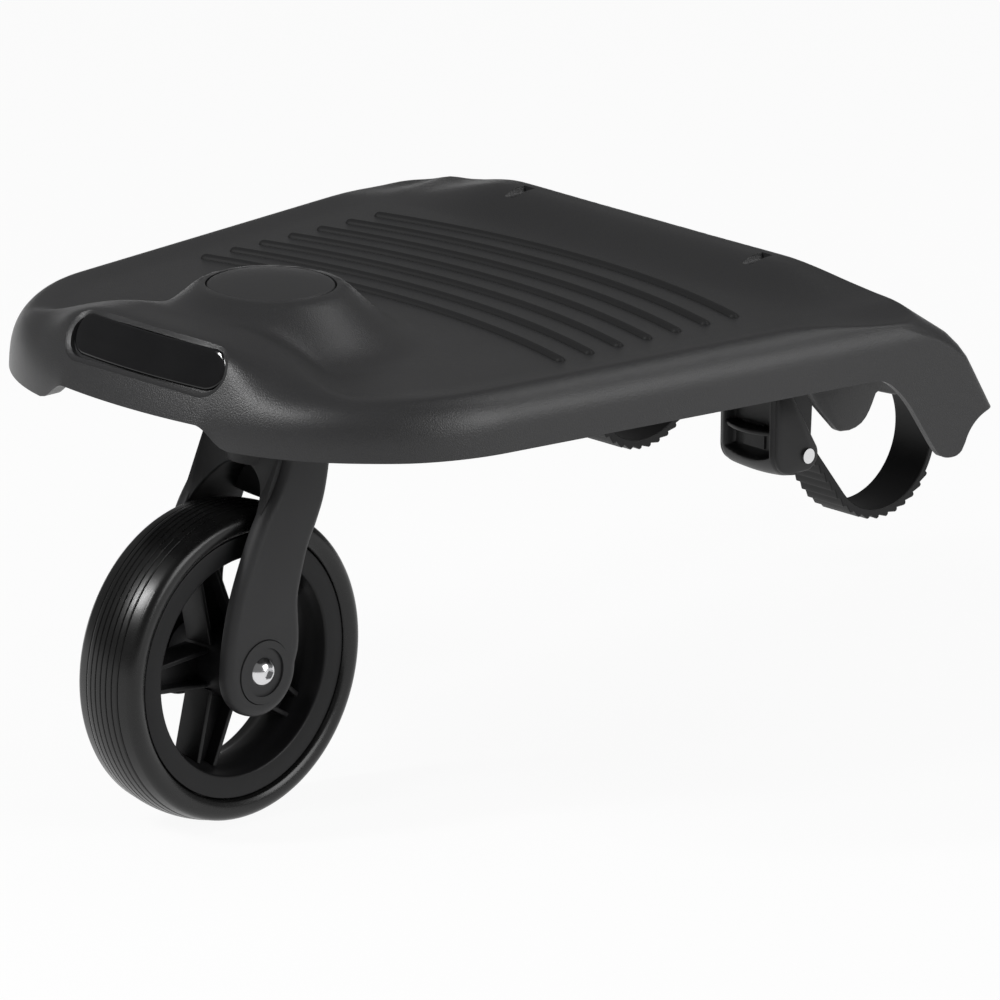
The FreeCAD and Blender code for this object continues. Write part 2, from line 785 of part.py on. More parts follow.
def axle_insert():
    """The stepped ring in a leg's end that carries the axle, and its boss down to the bearing."""
    face_y = -leg_outer - insert_proud
    bearing_y = -hub_half + play
    flange = disc(insert_r - seat_gap, face_y, face_y + insert_flange, axle_x, axle_z)
    boss = disc(insert_boss_r, face_y + insert_flange - weld, -leg_inner, axle_x, axle_z)
    spacer = disc(sleeve_r, -leg_inner - weld, bearing_y - play, axle_x, axle_z)
    step = disc(insert_step_r, face_y - overrun, face_y + insert_step, axle_x, axle_z)
    bore = disc(axle_r, face_y - overrun, overrun, axle_x, axle_z)
    return joined([flange, boss, spacer]).cut([step, bore])


def axle_bolt():
    """Button-head bolt through the fork and the wheel, with its hexagon socket."""
    seat_y = -leg_outer - insert_proud + insert_step
    ball_r = (axle_head_r ** 2 + axle_head ** 2) / (2 * axle_head)
    ball = Part.makeSphere(ball_r, Vector(axle_x, seat_y - axle_head + ball_r, axle_z))
    head = disc(axle_head_r, seat_y - axle_head, seat_y, axle_x, axle_z).common(ball)
    shank = disc(axle_r, seat_y - weld, -seat_y + axle_nut_h + insert_proud, axle_x, axle_z)
    socket = hexagon(2 * axle_socket_r, axle_socket, Vector(axle_x, seat_y - axle_head, axle_z), Y_AXIS)
    return joined([head, shank]).cut(socket)


def axle_nut():
    seat_y = leg_outer + insert_proud - insert_step
    nut = hexagon(axle_nut_flats, axle_nut_h, Vector(axle_x, seat_y, axle_z), Y_AXIS)
    return nut.cut(disc(axle_r, seat_y - overrun, seat_y + axle_nut_h + overrun, axle_x, axle_z))


# Wheel

def turned(points):
    """A ring turned about the axle, from points given as (radius, Y). A pair of points is an arc."""
    def place(point):
        return Vector(axle_x + point[0], point[1], axle_z)

    steps = []
    for point in points[1:]:
        if isinstance(point[0], tuple):
            steps.append((place(point[0]), place(point[1])))
        else:
            steps.append(place(point))
    face = Part.Face(outline(place(points[0]), *steps))
    return face.revolve(Vector(axle_x, 0, axle_z), Y_AXIS, 360)


def tyre():
    """The rubber tyre, with fine grooves round its crowned tread."""
    foot_half = rim_half - rim_flange
    body = turned([(rim_seat_r, -foot_half),
                   (rim_r, -foot_half),
                   (rim_r, -rim_half),
                   (tyre_edge_r, -rim_half),
                   (tyre_edge_r, -tyre_edge_half),
                   ((tyre_belly_r, -tyre_half), (tyre_shoulder_r, -tyre_shoulder_half)),
                   ((wheel_r, 0), (tyre_shoulder_r, tyre_shoulder_half)),
                   ((tyre_belly_r, tyre_half), (tyre_edge_r, tyre_edge_half)),
                   (tyre_edge_r, rim_half),
                   (rim_r, rim_half),
                   (rim_r, foot_half),
                   (rim_seat_r, foot_half)])
    crown_r = (tyre_shoulder_half ** 2 + (wheel_r - tyre_shoulder_r) ** 2) / (2 * (wheel_r - tyre_shoulder_r))
    grooves = []
    for k in range(tread_grooves):
        y = tread_groove_pitch * (k - (tread_grooves - 1) / 2)
        low = wheel_r - crown_r + math.sqrt(crown_r ** 2 - y ** 2) - tread_groove
        grooves.append(turned([(low, y - tread_groove_w / 2), (wheel_r + overrun, y - tread_groove_w / 2),
                               (wheel_r + overrun, y + tread_groove_w / 2), (low, y + tread_groove_w / 2)]))
    return body.cut(grooves)


def rim():
    """The moulded rim: two flat flanges, a stepped barrel, five channel spokes and the hub."""
    foot_half = rim_half - rim_flange
    barrel = turned([(rim_seat_r, -foot_half), (rim_r, -foot_half), (rim_r, -rim_half),
                     (rim_bore_r, -rim_half), (rim_bore_r, -rim_step_half), (rim_step_r, -rim_step_half),
                     (rim_step_r, rim_step_half), (rim_bore_r, rim_step_half),
                     (rim_bore_r, rim_half), (rim_r, rim_half), (rim_r, foot_half), (rim_seat_r, foot_half)])
    hub = disc(hub_r, -hub_half, hub_half, axle_x, axle_z)
    spokes = []
    root = hub_r - spoke_flange
    tip = rim_step_r + weld
    for k in range(spoke_count):
        turn = spoke_turn + 360 * k / spoke_count
        web = Part.makePolygon([xz(root, -spoke_hub_w / 2), xz(tip, -spoke_rim_w / 2),
                                xz(tip, spoke_rim_w / 2), xz(root, spoke_hub_w / 2),
                                xz(root, -spoke_hub_w / 2)])
        pieces = [plate(web, -spoke_web / 2, spoke_web / 2)]
        for side in (-1, 1):
            wall = Part.makePolygon([xz(root, side * spoke_hub_w / 2), xz(tip, side * spoke_rim_w / 2),
                                     xz(tip, side * (spoke_rim_w / 2 - spoke_flange)),
                                     xz(root, side * (spoke_hub_w / 2 - spoke_flange)),
                                     xz(root, side * spoke_hub_w / 2)])
            pieces.append(plate(wall, -spoke_half, spoke_half))
        spoke = joined(pieces)
        spoke.rotate(ORIGIN, Y_AXIS, -turn)
        spoke.translate(xz(axle_x, axle_z))
        spokes.append(spoke)
    body = joined([barrel, hub] + spokes)
    pocket = disc(bearing_r, -hub_half - overrun, -hub_half + play + bearing_w, axle_x, axle_z)
    through = disc(hub_bore_r, -hub_half, hub_half, axle_x, axle_z)
    return body.cut([through] + both_sides(pocket))


def wheel_bearing():
    """A ball bearing as one ring, with its shields set back between the races."""
    near_y = -hub_half + play
    ring = disc(bearing_r, near_y, near_y + bearing_w, axle_x, axle_z)
    ring = ring.cut(disc(axle_r + slip, near_y - overrun, near_y + bearing_w + overrun, axle_x, axle_z))
    groove_end = near_y + bearing_shield
    groove = disc(bearing_r - bearing_race, near_y - overrun, groove_end, axle_x, axle_z)
    groove = groove.cut(disc(axle_r + bearing_race, near_y - overrun, groove_end, axle_x, axle_z))
    return ring.cut([groove, groove.translated(Vector(0, bearing_w + overrun, 0))])


def axle_sleeve():
    """The tube on the axle that keeps the two bearings apart."""
    half = hub_half - 2 * play - bearing_w
    sleeve = disc(sleeve_r, -half, half, axle_x, axle_z)
    return sleeve.cut(disc(axle_r, -half - overrun, half + overrun, axle_x, axle_z))


# Straps and buckles, made for the near side

def on_tail(along, out):
    """A point by its distance along the strap's straight run and out from the run's inner face."""
    return tail_out * (tube_r + out) + tail_dir * along


def strap():
    """The toothed strap: an eye on the anchor pin, the loop, and the run into the buckle."""
    middle_r = tube_r + strap_thick / 2
    anchor = xz(anchor_x, anchor_z)
    lead_turn = math.atan2(anchor_z, anchor_x) - math.acos(middle_r / anchor.Length)
    lead_end = xz(middle_r * math.cos(lead_turn), middle_r * math.sin(lead_turn))
    across = xz(math.cos(lead_turn), math.sin(lead_turn)) * (strap_thick / 2)
    y_from, y_to = -strap_y - strap_w / 2, -strap_y + strap_w / 2
    lead = plate(Part.makePolygon([anchor - across, lead_end - across, lead_end + across,
                                   anchor + across, anchor - across]), y_from, y_to)
    section = Part.Face(Part.makePolygon([Vector(tube_r, y_from, 0), Vector(strap_r, y_from, 0),
                                          Vector(strap_r, y_to, 0), Vector(tube_r, y_to, 0),
                                          Vector(tube_r, y_from, 0)]))
    section.rotate(ORIGIN, Y_AXIS, -math.degrees(lead_turn))
    loop = section.revolve(ORIGIN, Y_AXIS, math.degrees(lead_turn) + 360 - tail_angle)
    tail = plate(Part.makePolygon([on_tail(0, 0), on_tail(tail_len, 0), on_tail(tail_len, tail_tip),
                                   on_tail(tail_len - tail_plain / 2, strap_thick), on_tail(0, strap_thick),
                                   on_tail(0, 0)]), y_from, y_to)
    pieces = [lead, loop, tail, disc(eye_r, y_from, y_to, anchor_x, anchor_z)]
    tooth_w = tooth_base_share * tooth_pitch
    loop_teeth = int(math.radians(tooth_start_angle + 360 - tail_angle) * strap_r / tooth_pitch)
    tail_teeth = int((tail_len - tail_plain) / tooth_pitch)
    for k in range(-loop_teeth, tail_teeth):
        along = max(0, k) * tooth_pitch
        root = on_tail(along, strap_thick - weld)
        tooth = plate(Part.makePolygon([root, on_tail(along + tooth_w, strap_thick - weld),
                                        on_tail(along + tooth_w, strap_thick),
                                        on_tail(along, strap_thick + tooth_h), root]), y_from, y_to)
        if k < 0:
            tooth.rotate(ORIGIN, Y_AXIS, math.degrees(k * tooth_pitch / strap_r))
        pieces.append(tooth)
    return joined(pieces).cut(disc(anchor_pin_r + slip, y_from - overrun, y_to + overrun, anchor_x, anchor_z))


def headed_pin(radius, head_r, head, half, x, z):
    """A steel pin with a low head at each end, across a strap's place."""
    pin = disc(radius, -strap_y - half, -strap_y + half, x, z)
    heads = [disc(head_r, -strap_y - half - head, -strap_y - half, x, z),
             disc(head_r, -strap_y + half, -strap_y + half + head, x, z)]
    return joined([pin] + heads)


def anchor_pin():
    return headed_pin(anchor_pin_r, anchor_head_r, anchor_head, lug_outer, anchor_x, anchor_z)


def lever_pin():
    half = lever_w / 2 + slip
    return headed_pin(lever_pin_r, lever_pin_head_r, lever_pin_head, half, lever_pin_x, lever_pin_z)


def buckle_bracket():
    """The fixed part of a buckle: a flange screwed under the deck and two cheeks for the lever's pin."""
    flange = block(flange_front_x, flange_rear_x, -strap_y - flange_w / 2, -strap_y + flange_w / 2,
                   flange_top_z - flange_thick, flange_top_z)
    low = flange_top_z - flange_thick + weld
    cheek = outline(xz(lever_face_x + lever_face, low),
                    xz(lever_pin_x - cheek_r, lever_pin_z),
                    (xz(lever_pin_x, lever_pin_z - cheek_r), xz(lever_pin_x + cheek_r, lever_pin_z)),
                    xz(flange_rear_x, low))
    pieces = [flange]
    for y in (-strap_y - cheek_outer, -strap_y + cheek_inner):
        pieces.append(plate(cheek, y, y + cheek_thick))
    holes = [disc(lever_pin_r, -strap_y - lever_w, -strap_y + lever_w, lever_pin_x, lever_pin_z)]
    for side in (-1, 1):
        holes.append(post(screw_r + seat_gap, flange_top_z - flange_thick - overrun, flange_top_z + overrun,
                          screw_x, -strap_y + side * screw_pitch / 2))
    return joined(pieces).cut(holes)


def buckle_lever():
    """The release lever: a channel with a finger lip, hung on the pin, with the pawl inside."""
    half = lever_w / 2
    pin = xz(lever_pin_x, lever_pin_z)
    heel = pin + xz(0, -lever_end_r)
    corner = xz(lever_face_x, lever_pin_z - lever_end_r)
    round_mid = corner + xz(lever_round, lever_round) * (1 - math.sqrt(0.5))
    floor_end_x = lever_pin_x - cheek_r - lever_floor
    side_view = outline(xz(lever_face_x, lever_top_z),
                        corner + xz(0, lever_round),
                        (round_mid, corner + xz(lever_round, 0)),
                        heel,
                        (pin + xz(lever_end_r, -lever_end_r) * math.sqrt(0.5), pin + xz(lever_end_r, 0)),
                        xz(lever_pin_x, lever_top_z - lever_round),
                        xz(lever_pin_x - lever_round / 2, lever_top_z))
    body = plate(side_view, -strap_y - half, -strap_y + half)
    inner_mid = round_mid + xz(lever_face, lever_floor) * math.sqrt(0.5)
    inside = outline(xz(lever_face_x + lever_face, lever_top_z + overrun),
                     corner + xz(lever_face, lever_round),
                     (inner_mid, corner + xz(lever_round, lever_floor)),
                     xz(floor_end_x, corner.z + lever_floor),
                     xz(floor_end_x, corner.z - overrun),
                     xz(lever_pin_x + lever_round, corner.z - overrun),
                     xz(lever_pin_x + lever_round, lever_top_z + overrun))
    body = body.cut(plate(inside, -strap_y - lever_inner, -strap_y + lever_inner))
    scoop_half = half - lever_scoop_border
    scoop = block(lever_face_x - overrun, lever_face_x + lever_scoop,
                  -strap_y - scoop_half, -strap_y + scoop_half, lip_z, lever_top_z - lever_scoop_border)
    lip_root_x = lever_face_x + lever_face - weld
    lip_tip_x = lever_face_x - lip_out
    lip_half = lip_thick / 2
    lip = outline(xz(lip_root_x, lip_z - lip_half),
                  xz(lip_tip_x + lip_half, lip_z - lip_half),
                  (xz(lip_tip_x, lip_z), xz(lip_tip_x + lip_half, lip_z + lip_half)),
                  xz(lip_root_x, lip_z + lip_half))
    body = body.cut(scoop).fuse(plate(lip, -strap_y - scoop_half, -strap_y + scoop_half))
    pin_along = (pin - on_tail(0, 0)).dot(tail_dir)
    nose = strap_thick + tooth_h + play
    nose_along = pin_along + pawl_reach
    pawl = Part.makePolygon([xz(lip_root_x, lever_pin_z),
                             xz(lip_root_x, lever_pin_z + pawl_reach + pawl_nose),
                             on_tail(nose_along, nose + pawl_nose), on_tail(nose_along, nose),
                             on_tail(nose_along - pawl_nose, nose), on_tail(pin_along, nose + pawl_nose),
                             xz(lip_root_x, lever_pin_z)])
    web = plate(pawl, -strap_y - pawl_w / 2, -strap_y + pawl_w / 2)
    hub = disc(pawl_hub_r, -strap_y - pawl_w / 2, -strap_y + pawl_w / 2, lever_pin_x, lever_pin_z)
    hole = disc(lever_pin_r + slip, -strap_y - lever_w, -strap_y + lever_w, lever_pin_x, lever_pin_z)
    return joined([body, web, hub]).cut(hole)


def lever_spring():
    """The coil that returns the lever, round the pin beside the pawl."""
    coil_r = lever_pin_r + slip + play + spring_wire_r
    y_from = -strap_y + pawl_w / 2 + play + spring_wire_r
    helix = Part.makeHelix(spring_pitch, spring_pitch * spring_turns, coil_r)
    section = Part.Wire(Part.makeCircle(spring_wire_r, Vector(coil_r, 0, 0), Y_AXIS))
    coil = Part.Wire(helix.Edges).makePipeShell([section], True, True)
    coil.rotate(ORIGIN, Vector(1, 0, 0), -90)
    coil.translate(Vector(lever_pin_x, y_from, lever_pin_z))
    return coil


def bracket_screws():
    """The four screws that hold the two buckle brackets, as separate solids in one group."""
    low = flange_top_z - flange_thick
    screws = []
    for y in (-strap_y, strap_y):
        for side in (-1, 1):
            place_y = y + side * screw_pitch / 2
            shank = post(screw_r - seat_gap, low, low + screw_len - play, screw_x, place_y)
            head = post(screw_head_r, low - screw_head, low, screw_x, place_y)
            screws.append(joined([shank, head]))
    return Part.makeCompound(screws)


save("deck_shell", deck_shell())
save("badge_plate", badge_plate())
save("swivel_cap", swivel_cap())
save("swivel_bush_upper", swivel_bush(nut_room_z - bush_flange, -1))
save("swivel_bush_lower", swivel_bush(tower_bottom_z, 1))
save("kingpin", kingpin())
save("thrust_washer", washer(thrust_washer_r, kingpin_r + slip, fork_top_z, thrust_washer))
save("kingpin_washer", washer(bush_flange_r, kingpin_thread_r, kingpin_washer_z, top_washer))
save("kingpin_nut", kingpin_nut())
save("fork", fork())
save("axle_bolt", axle_bolt())
save("axle_nut", axle_nut())
save("axle_sleeve", axle_sleeve())
save("rim", rim())
save("tyre", tyre())
save("bracket_screws", bracket_screws())
for side_piece in (axle_insert, wheel_bearing, strap, anchor_pin, buckle_bracket, buckle_lever, lever_pin,
                   lever_spring):
    near = side_piece()
    save(side_piece.__name__ + "_near", near)
    save(side_piece.__name__ + "_far", far_side(near))
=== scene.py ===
import math

import bmesh
import bpy
import numpy as np
from mathutils import Matrix, Vector
from mathutils.bvhtree import BVHTree


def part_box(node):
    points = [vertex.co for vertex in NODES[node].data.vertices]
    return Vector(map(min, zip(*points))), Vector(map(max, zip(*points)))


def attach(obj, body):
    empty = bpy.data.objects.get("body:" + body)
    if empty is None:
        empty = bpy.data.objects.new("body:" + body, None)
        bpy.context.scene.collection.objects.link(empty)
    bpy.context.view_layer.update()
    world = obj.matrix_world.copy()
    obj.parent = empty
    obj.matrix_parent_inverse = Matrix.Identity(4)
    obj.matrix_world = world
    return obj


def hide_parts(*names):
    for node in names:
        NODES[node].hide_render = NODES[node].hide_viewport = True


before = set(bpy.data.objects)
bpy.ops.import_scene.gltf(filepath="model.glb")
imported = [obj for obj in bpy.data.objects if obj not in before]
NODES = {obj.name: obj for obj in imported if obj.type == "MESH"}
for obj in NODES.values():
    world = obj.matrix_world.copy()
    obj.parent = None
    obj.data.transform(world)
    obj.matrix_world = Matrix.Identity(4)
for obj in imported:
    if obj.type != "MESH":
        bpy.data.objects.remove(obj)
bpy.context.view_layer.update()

# Buggy board. Lengths are millimetres in the part's own frame, and become metres when a mesh is made.
MM = 0.001
X, Y, Z = 0, 1, 2
SIDES = (("near", -1), ("far", 1))

# Deck sizes. The front, the corners, the roll and the rim are fitted to the photograph.
FLOOR_Z = 90.0
FLOOR_WALL = 4.0
SKIN = 3.5
FRONT_WALL = 9.0
FRONT_X = -401.0
FRONT_BOW_R = 303.0
FRONT_CORNER_R = 110.0
FRONT_LEAN = 0.45
FRONT_BREAK_Z = 75.5
HALF_WIDTH = 153.0
HALF_WIDTH_X = -238.0
FLARE = 0.106
REAR_CORNER_R = 5.0
REAR_CORNER_GAIN = 18.0
REAR_CORNER_Z = 64.0
REAR_CORNER_RUN = 24.0
SKIRT_FRONT_Z = 64.6
ARCH_TOP_Z = 74.0
ARCH_HALF = 44.0
ARCH_RUN = 18.0
ARCH_DEPTH = 60.0
ARCH_FADE = 25.0
ROLL_H = 17.0
ROLL_W = 16.0
SHOULDER_Z = 72.0
SHOULDER_H = 22.0
SHOULDER_W = 17.0
APRON_FOOT = (-13.0, 38.0)
APRON_KNEE = (-34.0, 75.5)
APRON_LIP = (-63.0, 102.5)
APRON_EDGE_Z = 55.0
CLAW_INNER_Y = 158.0
CLAW_STEP_HALF = 0.3
CLAW_ROOM = 8.0
CLAW_LOW_Z = 15.0
CLAW_POINTS = ((-84.0, 62.0), (-79.5, 60.9), (-75.0, 58.4), (-71.0, 54.9), (-67.0, 50.6), (-63.0, 45.4),
               (-58.5, 38.4), (-54.0, 31.2), (-50.0, 24.8), (-47.5, 21.4), (-45.0, 19.2), (-42.0, 18.1),
               (-38.0, 17.9), (-35.0, 18.5), (-33.0, 20.0), (-32.0, 22.0))
CLAW_NOTCH = (-10.5, 17.0, 21.5)
RIM_RISE = 1.8
RIM_DROP = 5.8
RIM_DROP_X = -130.0
RIM_DROP_RUN = 70.0
RIM_INSET = 10.0
RIM_RUN = 18.0
CREST_RISE = 19.0
CREST_INSET = 14.0
CREST_INSET_GAIN = 26.0
CREST_RUN = 13.0
CREST_RUN_GAIN = 35.0
CREST_FLAT = 28.0
CREST_FADE = 92.0
LIP_RISE = 11.0
LIP_START_X = -105.0
LIP_RUN = 36.0
LIP_FLAT = 85.0
LIP_FADE = 62.0
BLEND_POWER = 3.0
SWIVEL_X = -308.4
SWIVEL_RISE = 25.0
BOSS_R = 33.0
BOSS_RUN = 39.0
BOSS_SKEW = 0.72
SPINE = (SWIVEL_X, -125.0)

# How the corners of the deck's outer skin are softened: crisp, and broad up to the crest of the caster end
CRISP_SPREAD = 1.2
BROAD_SPREAD = 6.5
BROAD_X = -300.0
BROAD_X_RUN = 60.0
BROAD_PAST = 4.0
BROAD_FADE = 14.0

# Columns of the deck's half outline, from the front, and the heights and rows of its mesh
BOW_COUNT, CORNER_COUNT, SIDE_COUNT, CLAW_COUNT = 30, 34, 44, 48
REAR_CORNER_COUNT, LAND_COUNT, STEP_COUNT, REAR_COUNT = 9, 2, 2, 40
OUTLINE_COUNT = (BOW_COUNT + CORNER_COUNT + SIDE_COUNT + CLAW_COUNT
                 + REAR_CORNER_COUNT + LAND_COUNT + STEP_COUNT + REAR_COUNT)
SHOULDER_FIRST, SHOULDER_COLUMNS = BOW_COUNT + 1, 9
SKIRT_LEVELS, ROLL_LEVELS, LEVELS_TOP_Z = 12, 110, 120.0
EDGE_ROUNDS = 12
INWARD_COUNT = 160
EDGE_RUN = 10.0
OUTER_ROWS = (7, 24, 42)
INNER_ROWS = (5, 10, 20)

# Place and width of the straps, which the deck's ears and the buckles share
STRAP_Y, STRAP_W = 79.0, 24.0
ANCHOR = np.array((-29.0, 43.0))


# Surface finishes

# Numbered sockets of a Mix node set to colours, and of a Map Range node
MIX_SHARE, MIX_FIRST, MIX_SECOND, MIX_RESULT = 0, 6, 7, 2
RANGE_SHARE, RANGE_LOW, RANGE_HIGH = 0, 3, 4


class Field:
    """A number, colour or vector that changes over a surface, with its node's output socket."""

    def __init__(self, finish, socket):
        self.finish = finish
        self.socket = socket

    def maths(self, operation, first, second):
        return self.finish.node("ShaderNodeMath", {"operation": operation}, {0: first, 1: second})

    def most(self, other):
        return self.maths("MAXIMUM", self, other)

    def __add__(self, other):
        return self.maths("ADD", self, other)

    def __radd__(self, other):
        return self.maths("ADD", other, self)

    def __sub__(self, other):
        return self.maths("SUBTRACT", self, other)

    def __rsub__(self, other):
        return self.maths("SUBTRACT", other, self)

    def __mul__(self, other):
        return self.maths("MULTIPLY", self, other)

    def __rmul__(self, other):
        return self.maths("MULTIPLY", other, self)


class Finish:
    """A material, with the constants of its shader set on the shader's own sockets."""

    def __init__(self, name, colour, **constants):
        self.material = bpy.data.materials.new(name)
        self.material.use_nodes = True
        self.material.diffuse_color = (*colour, 1)
        self.tree = self.material.node_tree
        self.shader = self.tree.nodes["Principled BSDF"]
        self.shader.inputs["Base Color"].default_value = (*colour, 1)
        for socket, value in constants.items():
            self.shader.inputs[socket.replace("_", " ")].default_value = value

    def node(self, kind, settings=None, inputs=None, output=0):
        """Any node: its settings first, then the values or links of its sockets."""
        made = self.tree.nodes.new(kind)
        for name, value in (settings or {}).items():
            setattr(made, name, value)
        for socket, value in (inputs or {}).items():
            self.put(made.inputs[socket], value)
        return Field(self, made.outputs[output])

    def put(self, socket, value):
        if isinstance(value, Field):
            self.tree.links.new(value.socket, socket)
        else:
            socket.default_value = value

    def feed(self, socket, value):
        """Link what changes over the surface to the shader."""
        self.put(self.shader.inputs[socket], value)

    def noise(self, scale, detail, roughness):
        """Noise over the piece, by the place on it in metres in its own frame."""
        place = self.node("ShaderNodeTexCoord", output="Object")
        return self.node("ShaderNodeTexNoise", None,
                         {"Vector": place, "Scale": scale, "Detail": detail, "Roughness": roughness})

    def shades(self, amount, dark, light):
        """A colour between two, by an amount from 0 to 1."""
        return self.node("ShaderNodeMix", {"data_type": "RGBA"},
                         {MIX_SHARE: amount, MIX_FIRST: (*dark, 1), MIX_SECOND: (*light, 1)}, MIX_RESULT)

    def between(self, amount, low, high):
        """A number between two, by an amount from 0 to 1."""
        return self.node("ShaderNodeMapRange", None,
                         {RANGE_SHARE: amount, RANGE_LOW: low, RANGE_HIGH: high})

    def bump(self, height, distance, strength):
        self.feed("Normal", self.node("ShaderNodeBump", None,
                                      {"Height": height, "Distance": distance, "Strength": strength}))


def grained_plastic(name, dark, light, rough, spread, grain_mm, depth, specular):
    """Moulded plastic with a fine spark-eroded grain, slight tone changes and worn sheen."""
    grain_share, grain_sheen = 0.5, 0.12
    finish = Finish(name, light, Specular_IOR_Level=specular)
    tone = finish.noise(scale=9.0, detail=3.0, roughness=0.55)
    grain = finish.noise(scale=1 / (grain_mm * MM), detail=2.0, roughness=0.6)
    finish.feed("Base Color", finish.shades(tone * (1 - grain_share) + grain * grain_share, dark, light))
    cloud = finish.noise(scale=26.0, detail=4.0, roughness=0.6)
    worn = finish.between(cloud, rough - spread, rough + spread)
    finish.feed("Roughness", worn + (grain - 0.5) * grain_sheen)
    finish.bump(grain, depth, strength=0.55)
    return finish.material


def rubber(name, dark, light, rough, specular):
    """Smooth black rubber with a faint bloom."""
    smoother, rougher = 0.05, 0.1
    finish = Finish(name, light, Specular_IOR_Level=specular)
    bloom = finish.noise(scale=38.0, detail=5.0, roughness=0.65)
    finish.feed("Base Color", finish.shades(bloom, dark, light))
    finish.feed("Roughness", finish.between(bloom, rough - smoother, rough + rougher))
    finish.bump(finish.noise(scale=1400.0, detail=2.0, roughness=0.5), distance=0.00004, strength=0.3)
    return finish.material


def plated(name, colour, rough, scratch):
    """Plated steel with fine turning marks."""
    marks_share, smoother, rougher, darker = 0.6, 0.7, 1.5, 0.82
    finish = Finish(name, colour, Metallic=1.0)
    marks = finish.noise(scratch, detail=3.0, roughness=0.7)
    cloud = finish.noise(scale=60.0, detail=3.0, roughness=0.5)
    worn = marks * marks_share + cloud * (1 - marks_share)
    finish.feed("Roughness", finish.between(worn, rough * smoother, rough * rougher))
    dark = tuple(part * darker for part in colour)
    finish.feed("Base Color", finish.shades(cloud, dark, colour))
    return finish.material


def gloss_plate(name, dark, light):
    """The bare gloss plate, with the faint waviness of a polished moulding."""
    finish = Finish(name, light, Specular_IOR_Level=0.35, Coat_Roughness=0.03)
    wave = finish.noise(scale=45.0, detail=2.0, roughness=0.5)
    finish.feed("Coat Weight", finish.between(wave, low=0.2, high=0.35))
    finish.feed("Roughness", finish.between(wave, low=0.06, high=0.10))
    finish.feed("Base Color", finish.shades(wave, dark, light))
    return finish.material


DECK = grained_plastic("deck_grain", (0.016, 0.016, 0.0165), (0.032, 0.032, 0.033),
                       rough=0.36, spread=0.04, grain_mm=0.7, depth=0.00028, specular=0.42)
# The beads' base colours are a darker copy of the deck plastic: painted shade, besides their lower sheen
BEAD = grained_plastic("bead_satin_painted_shade", (0.014, 0.014, 0.0145), (0.022, 0.022, 0.0225),
                       rough=0.55, spread=0.04, grain_mm=0.5, depth=0.00005, specular=0.14)
# The cap's base colours are a lighter copy of the deck plastic: painted reflection
CAP = grained_plastic("cap_grain_painted_reflection", (0.030, 0.030, 0.0305), (0.038, 0.038, 0.039),
                      rough=0.48, spread=0.05, grain_mm=0.45, depth=0.0001, specular=0.24)
FORK = grained_plastic("fork_satin", (0.024, 0.024, 0.0245), (0.031, 0.031, 0.032),
                       rough=0.48, spread=0.05, grain_mm=0.5, depth=0.0001, specular=0.25)
RIM = grained_plastic("rim_satin", (0.006, 0.006, 0.0065), (0.010, 0.010, 0.0105),
                      rough=0.42, spread=0.05, grain_mm=0.5, depth=0.00008, specular=0.22)
BUCKLE = grained_plastic("buckle_satin", (0.016, 0.016, 0.0165), (0.022, 0.022, 0.0225),
                         rough=0.42, spread=0.06, grain_mm=0.5, depth=0.00008, specular=0.3)
TYRE = rubber("tyre_rubber", (0.003, 0.003, 0.003), (0.006, 0.006, 0.006), rough=0.25, specular=0.40)
STRAP = rubber("strap_rubber", (0.004, 0.004, 0.0042), (0.008, 0.008, 0.0085), rough=0.46, specular=0.25)
BADGE = gloss_plate("badge_gloss", (0.003, 0.003, 0.0035), (0.006, 0.006, 0.0065))
BRIGHT = plated("bright_plate", (0.78, 0.78, 0.79), rough=0.16, scratch=900.0)
ZINC = plated("zinc_plate", (0.52, 0.52, 0.54), rough=0.34, scratch=600.0)
ACETAL = grained_plastic("bush_acetal", (0.55, 0.54, 0.50), (0.68, 0.67, 0.63),
                         rough=0.4, spread=0.05, grain_mm=1.5, depth=0.00005, specular=0.5)

NODE_FINISH = {
    "deck_shell": DECK, "badge_plate": BADGE, "swivel_cap": CAP, "swivel_bush_upper": ACETAL,
    "swivel_bush_lower": ACETAL, "kingpin": ZINC, "thrust_washer": ACETAL, "kingpin_washer": ZINC,
    "kingpin_nut": ZINC, "fork": FORK, "axle_bolt": BRIGHT, "axle_nut": BRIGHT, "axle_sleeve": ZINC,
    "rim": RIM, "tyre": TYRE, "bracket_screws": ZINC,
}
SIDE_FINISH = {"axle_insert": FORK, "wheel_bearing": ZINC, "strap": STRAP, "anchor_pin": ZINC,
               "buckle_bracket": BUCKLE, "buckle_lever": BUCKLE, "lever_pin": BRIGHT, "lever_spring": ZINC}
for kind, finish in SIDE_FINISH.items():
    for side, _ in SIDES:
        NODE_FINISH[kind + "_" + side] = finish
for node, finish in NODE_FINISH.items():
    NODES[node].data.materials.clear()
    NODES[node].data.materials.append(finish)


# Stage, light and camera, in metres

PHOTO_PX = 1000
CAMERA = {"focal_px": 20000.0, "azimuth": -44.28, "elevation": 16.09, "roll": 0.66, "distance": 9.2105,
          "target": (-0.238, 0.0, 0.090), "target_px": (381.56, 308.84)}
SENSOR_MM = 36.0
CAMERA_REACH = 60.0
WORLD_LIGHT = 0.18
FLOOR_REACH = 40.0
PAPER = (0.86, 0.86, 0.86)
PAPER_GLOW = 0.93
LAMPS_AIM = Vector((-0.20, 0.0, 0.02))
# Each lamp: its way to the right, above and towards the camera, then distance, width, height and watts
LAMPS = {
    "key_softbox": ((0.9, 0.38, 0.5), 3.6, 2.0, 2.0, 66.0),
    "front_softbox": ((-0.695, 0.87, 0.72), 1.9, 0.3, 0.3, 9.0),
    "top_softbox": ((0.956, 1.19, -0.292), 3.6, 1.6, 1.6, 20.0),
    "left_strip": ((-0.94, 0.80, 0.34), 1.9, 0.16, 0.5, 15.0),
}


